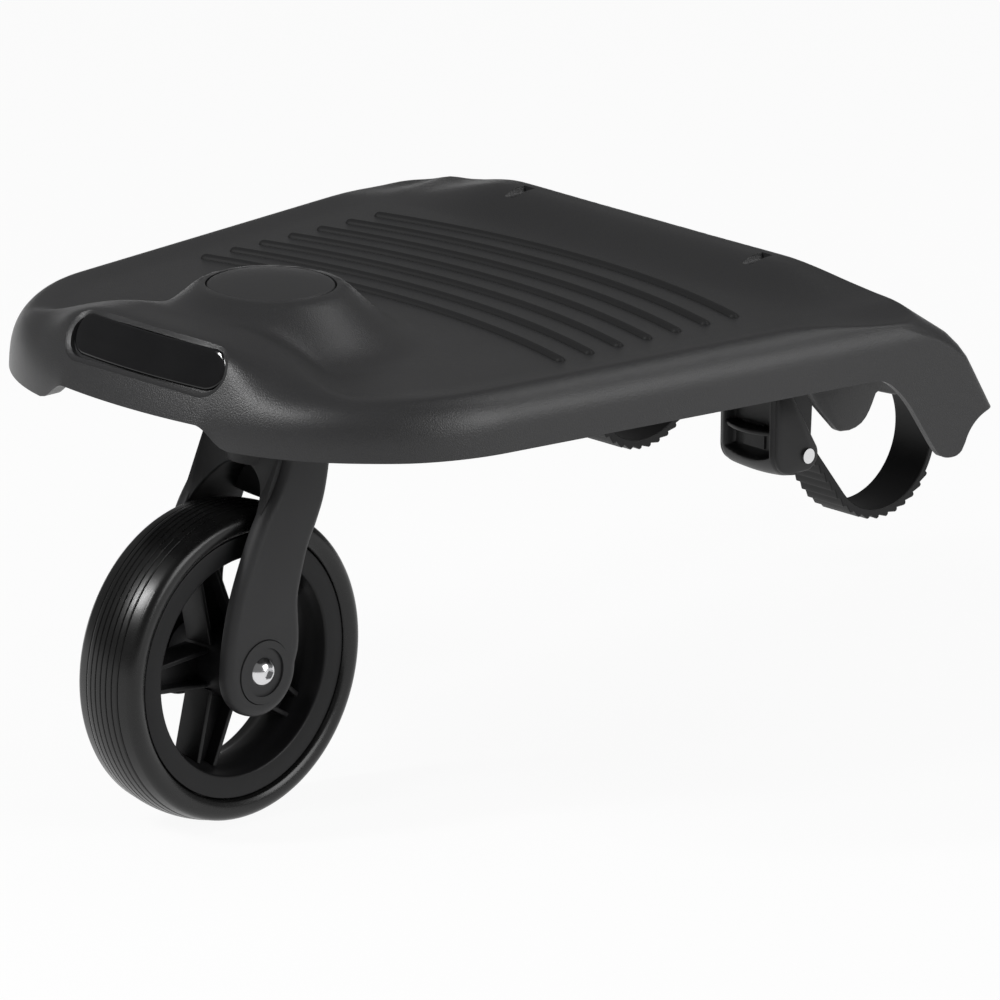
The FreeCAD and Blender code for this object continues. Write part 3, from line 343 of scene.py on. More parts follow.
def camera_axes():
    """The camera's right, up and backward directions."""
    azimuth, elevation, roll = (math.radians(CAMERA[key]) for key in ("azimuth", "elevation", "roll"))
    back = Vector((math.sin(azimuth) * math.cos(elevation), -math.cos(azimuth) * math.cos(elevation),
                   math.sin(elevation)))
    level_right = Vector((0, 0, 1)).cross(back).normalized()
    level_up = back.cross(level_right)
    right = level_right * math.cos(roll) + level_up * math.sin(roll)
    up = level_up * math.cos(roll) - level_right * math.sin(roll)
    return right, up, back


def photo_camera():
    right, up, back = camera_axes()
    per_px = CAMERA["distance"] / CAMERA["focal_px"]
    across = (CAMERA["target_px"][0] - PHOTO_PX / 2) * per_px
    down = (CAMERA["target_px"][1] - PHOTO_PX / 2) * per_px
    place = Vector(CAMERA["target"]) + back * CAMERA["distance"] - right * across + up * down
    lens = bpy.data.cameras.new("photo_camera")
    lens.sensor_width = SENSOR_MM
    lens.lens = CAMERA["focal_px"] / PHOTO_PX * lens.sensor_width
    lens.clip_end = CAMERA_REACH
    camera = bpy.data.objects.new("photo_camera", lens)
    turn = Matrix((right, up, back)).transposed().to_4x4()
    camera.matrix_world = Matrix.Translation(place) @ turn
    bpy.context.scene.collection.objects.link(camera)
    bpy.context.scene.camera = camera


def softbox(name, way, distance, wide, tall, watts):
    """A lamp with a lit rectangle, turned to the middle of the board."""
    right, _, back = camera_axes()
    level_back = Vector((back.x, back.y, 0)).normalized()
    out = (right * way[0] + Vector((0, 0, way[1])) + level_back * way[2]).normalized()
    lamp = bpy.data.lights.new(name, "AREA")
    lamp.shape = "RECTANGLE"
    lamp.size = wide
    lamp.size_y = tall
    lamp.energy = watts
    box = bpy.data.objects.new(name, lamp)
    box.location = LAMPS_AIM + out * distance
    box.rotation_euler = (-out).to_track_quat("-Z", "Y").to_euler()
    bpy.context.scene.collection.objects.link(box)


def studio_paper():
    """Matte paper that keeps the shadow, and is plain white to rays that see it or its mirror image."""
    finish = Finish("studio_paper", PAPER)
    finish.tree.nodes.remove(finish.shader)
    seen = finish.node("ShaderNodeLightPath", output="Is Camera Ray")
    for ray in ("Is Glossy Ray", "Is Transmission Ray"):
        seen = seen.most(finish.node("ShaderNodeLightPath", output=ray))
    matte = finish.node("ShaderNodeBsdfDiffuse", None, {"Color": (*PAPER, 1)})
    glow = finish.node("ShaderNodeEmission", None, {"Strength": 1.0})
    blend = finish.node("ShaderNodeMixShader", None, {"Fac": seen * PAPER_GLOW, 1: matte, 2: glow})
    finish.put(finish.tree.nodes["Material Output"].inputs["Surface"], blend)
    return finish.material


def studio():
    scene = bpy.context.scene
    scene.view_settings.view_transform = "Standard"
    world = bpy.data.worlds.new("studio")
    scene.world = world
    world.use_nodes = True
    back = world.node_tree.nodes["Background"]
    back.inputs["Color"].default_value = (1, 1, 1, 1)
    back.inputs["Strength"].default_value = WORLD_LIGHT

    floor_mesh = bpy.data.meshes.new("studio_floor")
    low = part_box("tyre")[0].z
    corners = [(x * FLOOR_REACH, y * FLOOR_REACH, low) for x, y in ((-1, -1), (1, -1), (1, 1), (-1, 1))]
    floor_mesh.from_pydata(corners, [], [(0, 1, 2, 3)])
    floor = bpy.data.objects.new("studio_floor", floor_mesh)
    scene.collection.objects.link(floor)
    floor_mesh.materials.append(studio_paper())
    for name, setting in LAMPS.items():
        softbox(name, *setting)


# Meshes

DOUBLES = 0.0005
APART = 0.00001
FINE_ROUND, MEDIUM_ROUND, SMALL_ROUND = 128, 96, 48


def loft(rings, closed_ends=True):
    """Points and faces of a stack of closed rings, with its first and last ring filled."""
    count = len(rings[0])
    faces = []
    for low in range(0, (len(rings) - 1) * count, count):
        for k in range(count):
            after = (k + 1) % count
            faces.append((low + k, low + after, low + count + after, low + count + k))
    if closed_ends:
        faces.append(tuple(range(count))[::-1])
        faces.append(tuple(range((len(rings) - 1) * count, len(rings) * count)))
    return [p for ring in rings for p in ring], faces


def lifted(outline, axis, place):
    """A flat outline across an axis, set at a place along it."""
    return [(*p[:axis], place, *p[axis:]) for p in outline]


def prism(outline, axis, ends):
    """An outline carried along an axis from one end to the other."""
    return loft([lifted(outline, axis, end) for end in ends])


def circle(across, up, radius, count):
    turns = [2 * math.pi * k / count for k in range(count)]
    return [(across + radius * math.cos(t), up + radius * math.sin(t)) for t in turns]


def turned(profile, centre, axis, count):
    """A turned shape. The profile is a closed loop of (radius, place along the axis)."""
    rings = []
    for radius, along in profile:
        ring = lifted(circle(0.0, 0.0, radius, count), axis, along)
        rings.append([tuple(c + part for c, part in zip(centre, p)) for p in ring])
    points, faces = loft(rings, False)
    last = (len(rings) - 1) * count
    faces += [(last + k, last + (k + 1) % count, (k + 1) % count, k) for k in range(count)]
    return points, faces


def post(x, y, radius, low, high, count=MEDIUM_ROUND):
    return prism(circle(x, y, radius, count), Z, (low, high))


def side_plate(outline, low, high, low_edge, levels=3, high_edge=None):
    """A plate in the XZ plane, carried along Y, with the edges of its two faces rounded."""
    outline = np.array(outline)
    ahead, behind = np.roll(outline, -1, axis=0), np.roll(outline, 1, axis=0)
    tangent = ahead - behind
    tangent /= np.linalg.norm(tangent, axis=1)[:, None]
    normal = np.column_stack((tangent[:, 1], -tangent[:, 0]))
    area = np.sum(outline[:, 0] * ahead[:, 1] - ahead[:, 0] * outline[:, 1])
    normal *= 1 if area > 0 else -1
    high_edge = low_edge if high_edge is None else high_edge
    turns = [math.pi / 2 * k / levels for k in range(levels + 1)]
    rings = [(low + low_edge * (1 - math.cos(t)), low_edge * (1 - math.sin(t))) for t in turns]
    rings += [(high - high_edge * (1 - math.cos(t)), high_edge * (1 - math.sin(t))) for t in reversed(turns)]
    return loft([lifted(outline - normal * inset, Y, y) for y, inset in rings])


def fillet(corner, before, after, radius, count=5):
    """Points of a rounded corner between two straight runs."""
    corner, before, after = (np.array(p, float) for p in (corner, before, after))
    into, out = before - corner, after - corner
    into, out = into / np.linalg.norm(into), out / np.linalg.norm(out)
    start, end = corner + into * radius, corner + out * radius
    shares = np.linspace(0, 1, count)
    return [tuple((1 - t) ** 2 * start + 2 * t * (1 - t) * corner + t * t * end) for t in shares]


def curve_through(points, count):
    """A smooth curve through points, by Catmull-Rom."""
    points = np.array(points, float)
    ends = np.vstack((2 * points[0] - points[1], points, 2 * points[-1] - points[-2]))
    made = []
    for k in range(len(points) - 1):
        a, b, c, d = ends[k:k + 4]
        square, cube = 2 * a - 5 * b + 4 * c - d, 3 * b - a - 3 * c + d
        for t in np.linspace(0, 1, count, endpoint=False):
            made.append(0.5 * (2 * b + (c - a) * t + square * t ** 2 + cube * t ** 3))
    return made + [points[-1]]


def solid(name, points, faces, merge=0.0):
    """A bare shape, its doubles merged and its faces turned outward."""
    mesh = bpy.data.meshes.new(name)
    mesh.from_pydata([tuple(c * MM for c in p) for p in points], [], faces)
    shape = bmesh.new()
    shape.from_mesh(mesh)
    if merge:
        bmesh.ops.remove_doubles(shape, verts=shape.verts, dist=merge * MM)
        bmesh.ops.dissolve_degenerate(shape, dist=merge * MM, edges=shape.edges)
    bmesh.ops.recalc_face_normals(shape, faces=shape.faces)
    shape.to_mesh(mesh)
    shape.free()
    piece = bpy.data.objects.new(name, mesh)
    bpy.context.scene.collection.objects.link(piece)
    return piece


def shade(mesh, smooth_deg):
    mesh.shade_smooth()
    mesh.set_sharp_from_angle(angle=math.radians(smooth_deg))


def build(name, points, faces, finish, smooth_deg, merge=DOUBLES):
    """A piece in its finish, shaded smooth up to an angle between faces."""
    piece = solid(name, points, faces, merge)
    piece.data.materials.append(finish)
    shade(piece.data, smooth_deg)
    return piece


class Parts:
    """Several closed shapes gathered into one mesh, where shapes that touch keep their own points."""

    def __init__(self):
        self.points, self.faces = [], []

    def add(self, points, faces, mirror=False):
        for flip in ((1, -1) if mirror else (1,)):
            base = len(self.points)
            self.points += [(p[0], p[1] * flip, p[2]) for p in points]
            self.faces += [tuple(base + i for i in f) for f in faces]

    def build(self, name, finish, smooth_deg):
        return build(name, self.points, self.faces, finish, smooth_deg, APART)


def carve(piece, cutters, smooth_deg):
    """Cut other shapes out of a piece, and delete them."""
    for cutter in cutters:
        cut = piece.modifiers.new("cut", "BOOLEAN")
        cut.operation = "DIFFERENCE"
        cut.solver = "EXACT"
        cut.object = cutter
    bpy.context.view_layer.update()
    seen = piece.evaluated_get(bpy.context.evaluated_depsgraph_get())
    mesh = bpy.data.meshes.new_from_object(seen)
    piece.modifiers.clear()
    old = piece.data
    piece.data = mesh
    bpy.data.meshes.remove(old)
    for cutter in cutters:
        bpy.data.objects.remove(cutter)
    shade(mesh, smooth_deg)


def ride_board(piece, slot, *nodes):
    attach(piece, "board")
    if nodes:
        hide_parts(*nodes)


# Deck moulding

TILT = math.atan(FLARE)
ALONG_SIDE = np.array((math.cos(TILT), math.sin(TILT)))
OFF_SIDE = np.array((-math.sin(TILT), math.cos(TILT)))


def half_width_at(x):
    return HALF_WIDTH + FLARE * (x - HALF_WIDTH_X)


def front_edge_at(y):
    return FRONT_X + FRONT_BOW_R - np.sqrt(FRONT_BOW_R ** 2 - np.minimum(np.abs(y), FRONT_BOW_R) ** 2)


def rear_edge_at(z):
    """The apron's outer face: two straight slopes that meet at the knee."""
    other = APRON_FOOT if z < APRON_KNEE[1] else APRON_LIP
    slope = (other[0] - APRON_KNEE[0]) / (other[1] - APRON_KNEE[1])
    return APRON_KNEE[0] + slope * (z - APRON_KNEE[1])


def ease(share):
    """0 to 1 with soft ends, for a share that may lie past them."""
    share = np.clip(share, 0, 1)
    return share * share * (3 - 2 * share)


def corner_centre(side_inset, front_inset):
    """Centre of the plan's front corner: inside the side, and tangent to the front bow inside."""
    corner_r = FRONT_CORNER_R - side_inset
    base = np.array((HALF_WIDTH_X, HALF_WIDTH - side_inset)) - OFF_SIDE * corner_r
    offset = base - np.array((FRONT_X + front_inset + FRONT_BOW_R, 0.0))
    half_b = offset @ ALONG_SIDE
    root = math.sqrt(half_b ** 2 - offset @ offset + (FRONT_BOW_R - corner_r) ** 2)
    return base + ALONG_SIDE * (-half_b - root)


CORNER = corner_centre(0.0, 0.0)


def edge_room(x, y):
    """How far a point of the plan lies inside the sides, the front corners and the front."""
    y = np.abs(y)
    side = (half_width_at(x) - y) * math.cos(TILT)
    front = FRONT_BOW_R - np.hypot(x - FRONT_X - FRONT_BOW_R, y)
    from_corner = np.hypot(x - CORNER[0], y - CORNER[1])
    before_side = x - CORNER[0] + FLARE * (y - CORNER[1]) < 0
    bow_turn = (y - CORNER[1]) * (CORNER[0] - FRONT_X - FRONT_BOW_R) - (x - CORNER[0]) * CORNER[1]
    in_corner = before_side & (bow_turn < 0)
    return np.where(in_corner, FRONT_CORNER_R - from_corner, np.minimum(side, front))


def top_at(x, y):
    """Height of the moulded top: rim, caster-end crest, swivel boss and stroller-end lip."""
    rim = RIM_RISE - RIM_DROP * ease((x - RIM_DROP_X) / RIM_DROP_RUN)
    middle = 1 - ease((np.abs(y) - CREST_FLAT) / CREST_FADE)
    side = rim * ease((RIM_INSET + RIM_RUN - edge_room(x, y)) / RIM_RUN) * (1 - middle)
    crest_room = x - front_edge_at(y) - CREST_INSET - CREST_INSET_GAIN * middle
    front = CREST_RISE * middle * (1 - ease(crest_room / (CREST_RUN + CREST_RUN_GAIN * middle)))
    reach = np.hypot(x - SWIVEL_X, y)
    boss = SWIVEL_RISE * (1 - ease(np.clip((reach - BOSS_R) / BOSS_RUN, 0, 1) ** BOSS_SKEW))
    lip = LIP_RISE * ease((x - LIP_START_X) / LIP_RUN) * (1 - ease((np.abs(y) - LIP_FLAT) / LIP_FADE))
    blend = (front ** BLEND_POWER + boss ** BLEND_POWER + lip ** BLEND_POWER) ** (1 / BLEND_POWER)
    return FLOOR_Z + blend + side


def arc_points(centre, start, end, count):
    """Points on the shorter arc from start to end, without the last one."""
    first = math.atan2(start[1] - centre[1], start[0] - centre[0])
    turn = math.atan2(end[1] - centre[1], end[0] - centre[0]) - first
    turn = (turn + math.pi) % (2 * math.pi) - math.pi
    radius = math.hypot(start[0] - centre[0], start[1] - centre[1])
    return [(centre[0] + radius * math.cos(first + turn * k / count),
             centre[1] + radius * math.sin(first + turn * k / count)) for k in range(count)]


def line_points(start, end, count):
    """Points on the line from start to end, without the last one."""
    shares = [k / count for k in range(count)]
    return [(start[0] + (end[0] - start[0]) * s, start[1] + (end[1] - start[1]) * s) for s in shares]


def half_outline(side_inset, front_inset, rear_x, rear_r):
    """Half of the deck's plan at one height, from the middle of the front round to that of the apron."""
    corner_r = FRONT_CORNER_R - side_inset
    bow_centre = np.array((FRONT_X + front_inset + FRONT_BOW_R, 0.0))
    corner = corner_centre(side_inset, front_inset)
    from_bow = (corner - bow_centre) / np.linalg.norm(corner - bow_centre)
    bow_end = corner + from_bow * corner_r
    side_start = corner + OFF_SIDE * corner_r
    rear_base = np.array((HALF_WIDTH_X, HALF_WIDTH - side_inset)) - OFF_SIDE * rear_r
    rear_centre = rear_base + ALONG_SIDE * ((rear_x - rear_r - rear_base[0]) / ALONG_SIDE[0])
    side_end = rear_centre + OFF_SIDE * rear_r
    rear_end = rear_centre + np.array((rear_r, 0.0))
    claw_share = (CLAW_POINTS[0][0] - CLAW_ROOM - side_start[0]) / (side_end[0] - side_start[0])
    claw_start = side_start + (side_end - side_start) * claw_share
    points = arc_points(bow_centre, (FRONT_X + front_inset, 0.0), bow_end, BOW_COUNT)
    points += arc_points(corner, bow_end, side_start, CORNER_COUNT)
    points += line_points(side_start, claw_start, SIDE_COUNT)
    points += line_points(claw_start, side_end, CLAW_COUNT)
    points += arc_points(rear_centre, side_end, rear_end, REAR_CORNER_COUNT)
    step_y = CLAW_INNER_Y - side_inset - (rear_r - REAR_CORNER_R)
    outer, inner = step_y + CLAW_STEP_HALF, step_y - CLAW_STEP_HALF
    points += line_points(rear_end, (rear_x, outer), LAND_COUNT)
    points += [(rear_x, outer), (rear_x, inner)]
    points += [(rear_x, inner * (1 - k / REAR_COUNT)) for k in range(1, REAR_COUNT + 1)]
    return np.array(points)


def rolled(rise, height, width):
    """How far an edge has rolled in at a rise: a quarter ellipse, then a slope."""
    if rise <= 0:
        return 0.0
    return width * (1 - math.sqrt(1 - (rise / height) ** 2)) if rise < height else width + rise - height


def shoulder_share():
    """For each column, how much of the broad roll beside the badge it takes."""
    k = np.arange(OUTLINE_COUNT)
    full = SHOULDER_FIRST + SHOULDER_COLUMNS
    end = BOW_COUNT + CORNER_COUNT
    return ease((k - SHOULDER_FIRST) / SHOULDER_COLUMNS) * (1 - ease((k - full) / (end - full)))


def level_outline(z, side_wall, front_wall, rear_wall):
    """The half outline at a height, with the edge's roll, the badge face's lean and its shoulders."""
    roll = rolled(z - APRON_KNEE[1], ROLL_H, ROLL_W)
    lean = FRONT_LEAN * max(0.0, z - FRONT_BREAK_Z)
    broad = rolled(z - SHOULDER_Z, SHOULDER_H, SHOULDER_W)
    rear_x = rear_edge_at(z) - rear_wall
    rear_r = REAR_CORNER_R + REAR_CORNER_GAIN * float(ease((z - REAR_CORNER_Z) / REAR_CORNER_RUN))
    plain = half_outline(side_wall + roll, front_wall + lean, rear_x, rear_r)
    shoulder = half_outline(side_wall + broad, front_wall + broad, rear_x, rear_r)
    return plain + (shoulder - plain) * shoulder_share()[:, None]


def skirt_edge_at(x):
    """Height of the skirt's lower edge in side view, with the claw and its notch."""
    xs = [FRONT_X] + [p[0] for p in CLAW_POINTS]
    zs = [SKIRT_FRONT_Z] + [p[1] for p in CLAW_POINTS]
    notch_x, notch_z, notch_r = CLAW_NOTCH
    low = np.interp(x, xs, zs)
    arc = notch_z + np.sqrt(np.maximum(0, notch_r ** 2 - (x - notch_x) ** 2))
    return np.where(x > xs[-1], np.maximum(arc, zs[-1]), low)


def lower_edge(columns):
    """Height of the lower edge for each column of the outline, given as its points at every height."""
    low = np.full(columns.shape[1], APRON_EDGE_Z)
    for k in range(columns.shape[1] - REAR_COUNT - 1):
        xs, ys, heights = columns[:, k].T
        z = APRON_EDGE_Z
        for _ in range(EDGE_ROUNDS):
            z = 0.5 * z + 0.5 * float(skirt_edge_at(np.interp(z, heights, xs)))
        x, y = np.interp(z, heights, xs), np.interp(z, heights, ys)
        arch = ARCH_TOP_Z - (ARCH_TOP_Z - SKIRT_FRONT_Z) * ease((y - ARCH_HALF) / ARCH_RUN)
        front_share = ease((ARCH_DEPTH - (x - FRONT_X)) / ARCH_FADE)
        low[k] = z + max(0.0, float(arch) - z) * float(front_share)
    return low


def run_along(path):
    """How far along a path each of its points lies."""
    return np.concatenate(([0], np.cumsum(np.linalg.norm(np.diff(path, axis=0), axis=1))))


def nearest(path, point):
    """Which point of a path lies nearest to a point."""
    return int(np.argmin(np.linalg.norm(path - point, axis=1)))


def spaced(path, places):
    """Points along a path at given shares of its length."""
    run = run_along(path)
    return np.stack([np.interp(places * run[-1], run, path[:, axis]) for axis in range(3)], axis=1)


def softened(path, spread):
    """The path with its corners rounded: spaced by about 1 mm, then averaged over a short run each side."""
    even = spaced(path, np.linspace(0, 1, int(run_along(path)[-1]) + 2))
    reach = int(3 * spread)
    weights = np.exp(-0.5 * (np.arange(-reach, reach + 1) / spread) ** 2)
    weights /= weights.sum()
    padded = np.concatenate((2 * even[0] - even[reach:0:-1], even, 2 * even[-1] - even[-2:-reach - 2:-1]))
    return np.stack([np.convolve(padded[:, axis], weights, "valid") for axis in range(3)], axis=1)


def skin_path(column, levels, low, sink):
    """One column's way from the lower edge up, over the roll and in to the middle line, and its crest."""
    gap = top_at(column[:, 0], column[:, 1]) - sink - column[:, 2]
    crossing = int(np.argmax((gap <= 0) & (levels > APRON_KNEE[1])))
    share = gap[crossing - 1] / (gap[crossing - 1] - gap[crossing])
    crest = column[crossing - 1] + (column[crossing] - column[crossing - 1]) * share
    start = np.array([np.interp(low, levels, column[:, axis]) for axis in range(3)])
    above = column[(levels > low) & (np.arange(len(levels)) < crossing)]
    middle = np.array((np.clip(crest[0], *SPINE), 0.0))
    inward = crest[:2] + (middle - crest[:2]) * np.linspace(0, 1, INWARD_COUNT)[1:, None]
    inner = np.column_stack((inward, top_at(inward[:, 0], inward[:, 1]) - sink))
    return np.concatenate((start[None], above, crest[None], inner)), crest


def soft_path(path, crest):
    """The path with crisp corners, and broad ones up to the crest of the caster end."""
    crisp, broad = softened(path, CRISP_SPREAD), softened(path, BROAD_SPREAD)
    run = run_along(crisp)
    past = run - run[nearest(crisp, crest)]
    share = float(ease((BROAD_X - crest[0]) / BROAD_X_RUN)) * (1 - ease((past - BROAD_PAST) / BROAD_FADE))
    soft = crisp + (broad - crisp) * share[:, None]
    soft[0], soft[-1] = path[0], path[-1]
    return soft


def deck_columns(walls, sink, soft, rows):
    """Columns of points for half of a skin, with rows up the skirt, over the roll and in to the middle."""
    low_levels = np.linspace(CLAW_LOW_Z, APRON_KNEE[1], SKIRT_LEVELS, endpoint=False)
    levels = np.concatenate((low_levels, np.linspace(APRON_KNEE[1], LEVELS_TOP_Z, ROLL_LEVELS)))
    outlines = [(level_outline(z, *walls), np.full(OUTLINE_COUNT, z)) for z in levels]
    columns = np.array([np.column_stack(outline) for outline in outlines])
    skirt, roll, top = (np.linspace(0, 1, count) for count in rows)
    low = lower_edge(columns)
    made = []
    for k in range(OUTLINE_COUNT):
        path, crest = skin_path(columns[:, k], levels, low[k], sink)
        if soft:
            path = soft_path(path, crest)
        run = run_along(path)
        knee = np.interp(min(APRON_KNEE[1], path[:, 2].max()), np.maximum.accumulate(path[:, 2]), run)
        edge = run[nearest(path[:, :2], crest[:2])] + EDGE_RUN
        stations = np.concatenate((knee * skirt[:-1], knee + (edge - knee) * roll[:-1],
                                   edge + (run[-1] - edge) * top))
        made.append(spaced(path, stations / run[-1]))
    return np.array(made)


def mirrored_loop(half):
    """All columns round the deck, from those of its +Y half."""
    other = half[-2:0:-1].copy()
    other[:, :, 1] *= -1
    return np.concatenate((half, other))


def deck_mesh():
    outer = mirrored_loop(deck_columns((0.0, 0.0, 0.0), 0.0, True, OUTER_ROWS))
    inner = mirrored_loop(deck_columns((SKIN, FRONT_WALL, SKIN), FLOOR_WALL, False, INNER_ROWS))
    points, faces = [], []
    for skin, outward in ((outer, True), (inner, False)):
        base = len(points)
        count, rows = skin.shape[:2]
        points += [tuple(p) for p in skin.reshape(-1, 3)]
        for k in range(count):
            here, after = base + k * rows, base + (k + 1) % count * rows
            for r in range(rows - 1):
                face = (here + r, here + r + 1, after + r + 1, after + r)
                faces.append(face if outward else face[::-1])
    count, outer_rows, inner_rows = outer.shape[0], outer.shape[1], inner.shape[1]
    base = count * outer_rows
    for k in range(count):
        after = (k + 1) % count
        faces.append((k * outer_rows, after * outer_rows, base + after * inner_rows, base + k * inner_rows))
    return points, faces


DECK_SMOOTH = 38.0
deck = build("deck_moulding", *deck_mesh(), DECK, DECK_SMOOTH)
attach(deck, "board")
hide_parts("deck_shell")


# Badge plate and its pocket, swivel cap and drain notches

BADGE_W, BADGE_H, BADGE_Z = 100.0, 20.0, 98.5
BADGE_CORE = 0.05 - BADGE_H / 2
PLATE_BELOW, PLATE_BACK, POCKET_DEPTH = 0.4, -2.2, 1.8
RAY_START = 60.0
LEAN_TURN = math.atan(FRONT_LEAN)
UP_FACE = Vector((math.sin(LEAN_TURN), 0, math.cos(LEAN_TURN)))
OUT_FACE = Vector((-math.cos(LEAN_TURN), 0, math.sin(LEAN_TURN)))
CAP_R, CAP_GAP, CAP_SEAT_DEPTH = 29.7, 0.6, 3.0
CAP_EDGE, CAP_EDGE_Z, CAP_DOME, CAP_CORE_R = 1.5, 3.5, 3.1, 0.01
CAP_SEAT_Z = FLOOR_Z + SWIVEL_RISE - CAP_SEAT_DEPTH
CUT_TOP_Z = 140.0
DRAIN_X, DRAIN_HALF, DRAIN_LOW_Z, DRAIN_TOP_Z = (-80.0, -66.0), 3.5, 101.0, 130.0


def stadium(half, radius):
    """96 points round a stadium: across, then up."""
    turns = np.linspace(-math.pi / 2, math.pi / 2, 24)
    runs = np.linspace(-half, half, 26)[1:-1]
    right = [(half + radius * math.cos(t), radius * math.sin(t)) for t in turns]
    return right + [(-x, radius) for x in runs] + [(-x, -y) for x, y in right] + [(x, -radius) for x in runs]


def on_front_face(across, up):
    """The point of the front face at a place of the badge."""
    middle = Vector((FRONT_X + FRONT_LEAN * (BADGE_Z - FRONT_BREAK_Z), across, BADGE_Z))
    start = middle + UP_FACE * up + OUT_FACE * RAY_START
    return deck_tree.ray_cast(start * MM, -OUT_FACE)[0] / MM


def badge_outline(offset):
    return stadium((BADGE_W - BADGE_H) / 2, BADGE_H / 2 + offset)


def pocket_ring(offset, lift):
    """The badge outline, grown by an offset, laid on the front face and lifted off it."""
    return [tuple(on_front_face(*place) + OUT_FACE * lift) for place in badge_outline(offset)]


def plate_ring(offset, lift):
    """The badge outline on a face that is bowed in plan and straight up its slope."""
    middle = on_front_face(0.0, 0.0) + OUT_FACE * lift
    return [tuple(middle + Vector((front_edge_at(across) - FRONT_X, across, 0)) + UP_FACE * up)
            for across, up in badge_outline(offset)]


deck_tree = BVHTree.FromObject(deck, bpy.context.evaluated_depsgraph_get())
plate_sink = max((Vector(flat) - Vector(face)).dot(OUT_FACE)
                 for flat, face in zip(plate_ring(0, 0), pocket_ring(0, 0)))
floor_sink = -POCKET_DEPTH - plate_sink
pocket_rings = ((BADGE_CORE, floor_sink), (-6.0, floor_sink), (0.0, floor_sink), (0.3, -1.6), (0.9, -1.3),
                (1.7, -0.9), (2.6, -0.3), (3.4, 0.5), (4.0, 3.0), (-6.0, 9.0), (BADGE_CORE, 9.0))
badge_pocket = solid("badge_pocket", *loft([pocket_ring(*ring) for ring in pocket_rings]))
plate_rings = ((BADGE_CORE, PLATE_BACK), (-6.0, PLATE_BACK), (-0.2, PLATE_BACK), (-0.2, -0.75), (-0.4, -0.45),
               (-0.8, -0.2), (-1.4, -0.06), (-2.2, 0.0), (-5.0, 0.0), (-8.0, 0.0), (BADGE_CORE, 0.0))
plate_shape = loft([plate_ring(offset, lift - PLATE_BELOW - plate_sink) for offset, lift in plate_rings])
badge = build("badge_plate_gloss", *plate_shape, BADGE, smooth_deg=50.0)
ride_board(badge, "badge_gloss", "badge_plate")

cap_seat = solid("cap_seat", *post(SWIVEL_X, 0, CAP_R + CAP_GAP, CAP_SEAT_Z, CUT_TOP_Z))
drain_notches = []
for _, sign in SIDES:
    middle = sign * STRAP_Y
    turns = [math.pi * (1 + k / 12) for k in range(13)]
    notch = [(middle + DRAIN_HALF * math.cos(t), DRAIN_LOW_Z + DRAIN_HALF * math.sin(t)) for t in turns]
    notch += [(middle + DRAIN_HALF, DRAIN_TOP_Z), (middle - DRAIN_HALF, DRAIN_TOP_Z)]
    drain_notches.append(solid("drain_notch", *prism(notch, X, DRAIN_X)))
carve(deck, [badge_pocket, cap_seat] + drain_notches, DECK_SMOOTH)

cap_profile = [(CAP_CORE_R, 0.4), (CAP_R - 0.5, 0.4), (CAP_R, 0.9), (CAP_R, 1.9),
               (CAP_R - 0.2, 2.6), (CAP_R - 0.7, 3.1), (CAP_R - CAP_EDGE, CAP_EDGE_Z)]
for r in np.linspace(CAP_R - CAP_EDGE - 1.0, CAP_CORE_R, 14):
    cap_profile.append((r, CAP_EDGE_Z + CAP_DOME * (1 - (r / (CAP_R - CAP_EDGE)) ** 2)))
cap_shape = turned(cap_profile, (SWIVEL_X, 0.0, CAP_SEAT_Z), Z, FINE_ROUND)
cap = build("swivel_cap_dome", *cap_shape, CAP, smooth_deg=35.0)
ride_board(cap, "cap_plastic", "swivel_cap")


# Grip beads

BEAD_COUNT, BEAD_PITCH, BEAD_FIRST_X, BEAD_HALF, BEAD_BOW = 7, 18.6, -238.0, 117.6, 17.5
BEAD_WIDTH, BEAD_HEIGHT, BEAD_FULLNESS = 2.7, 2.1, 0.6
BEAD_EDGE_DEPTH, BEAD_FOOT_DEPTH, BEAD_TIP = 0.25, 1.0, 0.03


def bead_mesh(first_x):
    """One low, soft-edged bead across the floor, with round ends."""
    bow_r = (BEAD_HALF ** 2 + BEAD_BOW ** 2) / (2 * BEAD_BOW)
    centre_x = first_x + BEAD_BOW - bow_r
    half_turn = math.asin(BEAD_HALF / bow_r)
    section = [(s, math.cos(s * math.pi / 2) ** BEAD_FULLNESS) for s in np.linspace(-1, 1, 11)]
    cap_turns = [(math.sin(t), math.cos(t)) for t in np.linspace(math.pi / 2, 0, 6)]
    stations = [(-half_turn, reach, share) for reach, share in cap_turns]
    stations += [(t, 0.0, 1.0) for t in np.linspace(-half_turn, half_turn, 61)[1:-1]]
    stations += [(half_turn, -reach, share) for reach, share in reversed(cap_turns)]
    rings = []
    for turn, reach, share in stations:
        along = np.array((-math.sin(turn), math.cos(turn)))
        outward = np.array((math.cos(turn), math.sin(turn)))
        share = max(share, BEAD_TIP)
        middle = np.array((centre_x, 0.0)) + outward * bow_r - along * reach * BEAD_WIDTH
        top, foot = [], []
        for s, rise in section:
            x, y = middle + outward * s * BEAD_WIDTH * share
            floor = float(top_at(x, y))
            top.append((x, y, floor - BEAD_EDGE_DEPTH + (BEAD_HEIGHT + BEAD_EDGE_DEPTH) * rise * share))
            foot.append((x, y, floor - BEAD_FOOT_DEPTH))
        rings.append(top + foot[::-1])
    return loft(rings)


for k in range(BEAD_COUNT):
    bead = build("grip_bead_%d" % (k + 1), *bead_mesh(BEAD_FIRST_X + BEAD_PITCH * k), BEAD, smooth_deg=60.0)
    ride_board(bead, "deck_plastic")


# Underside: ribs, swivel tower, saddles, strap ears and screw bosses

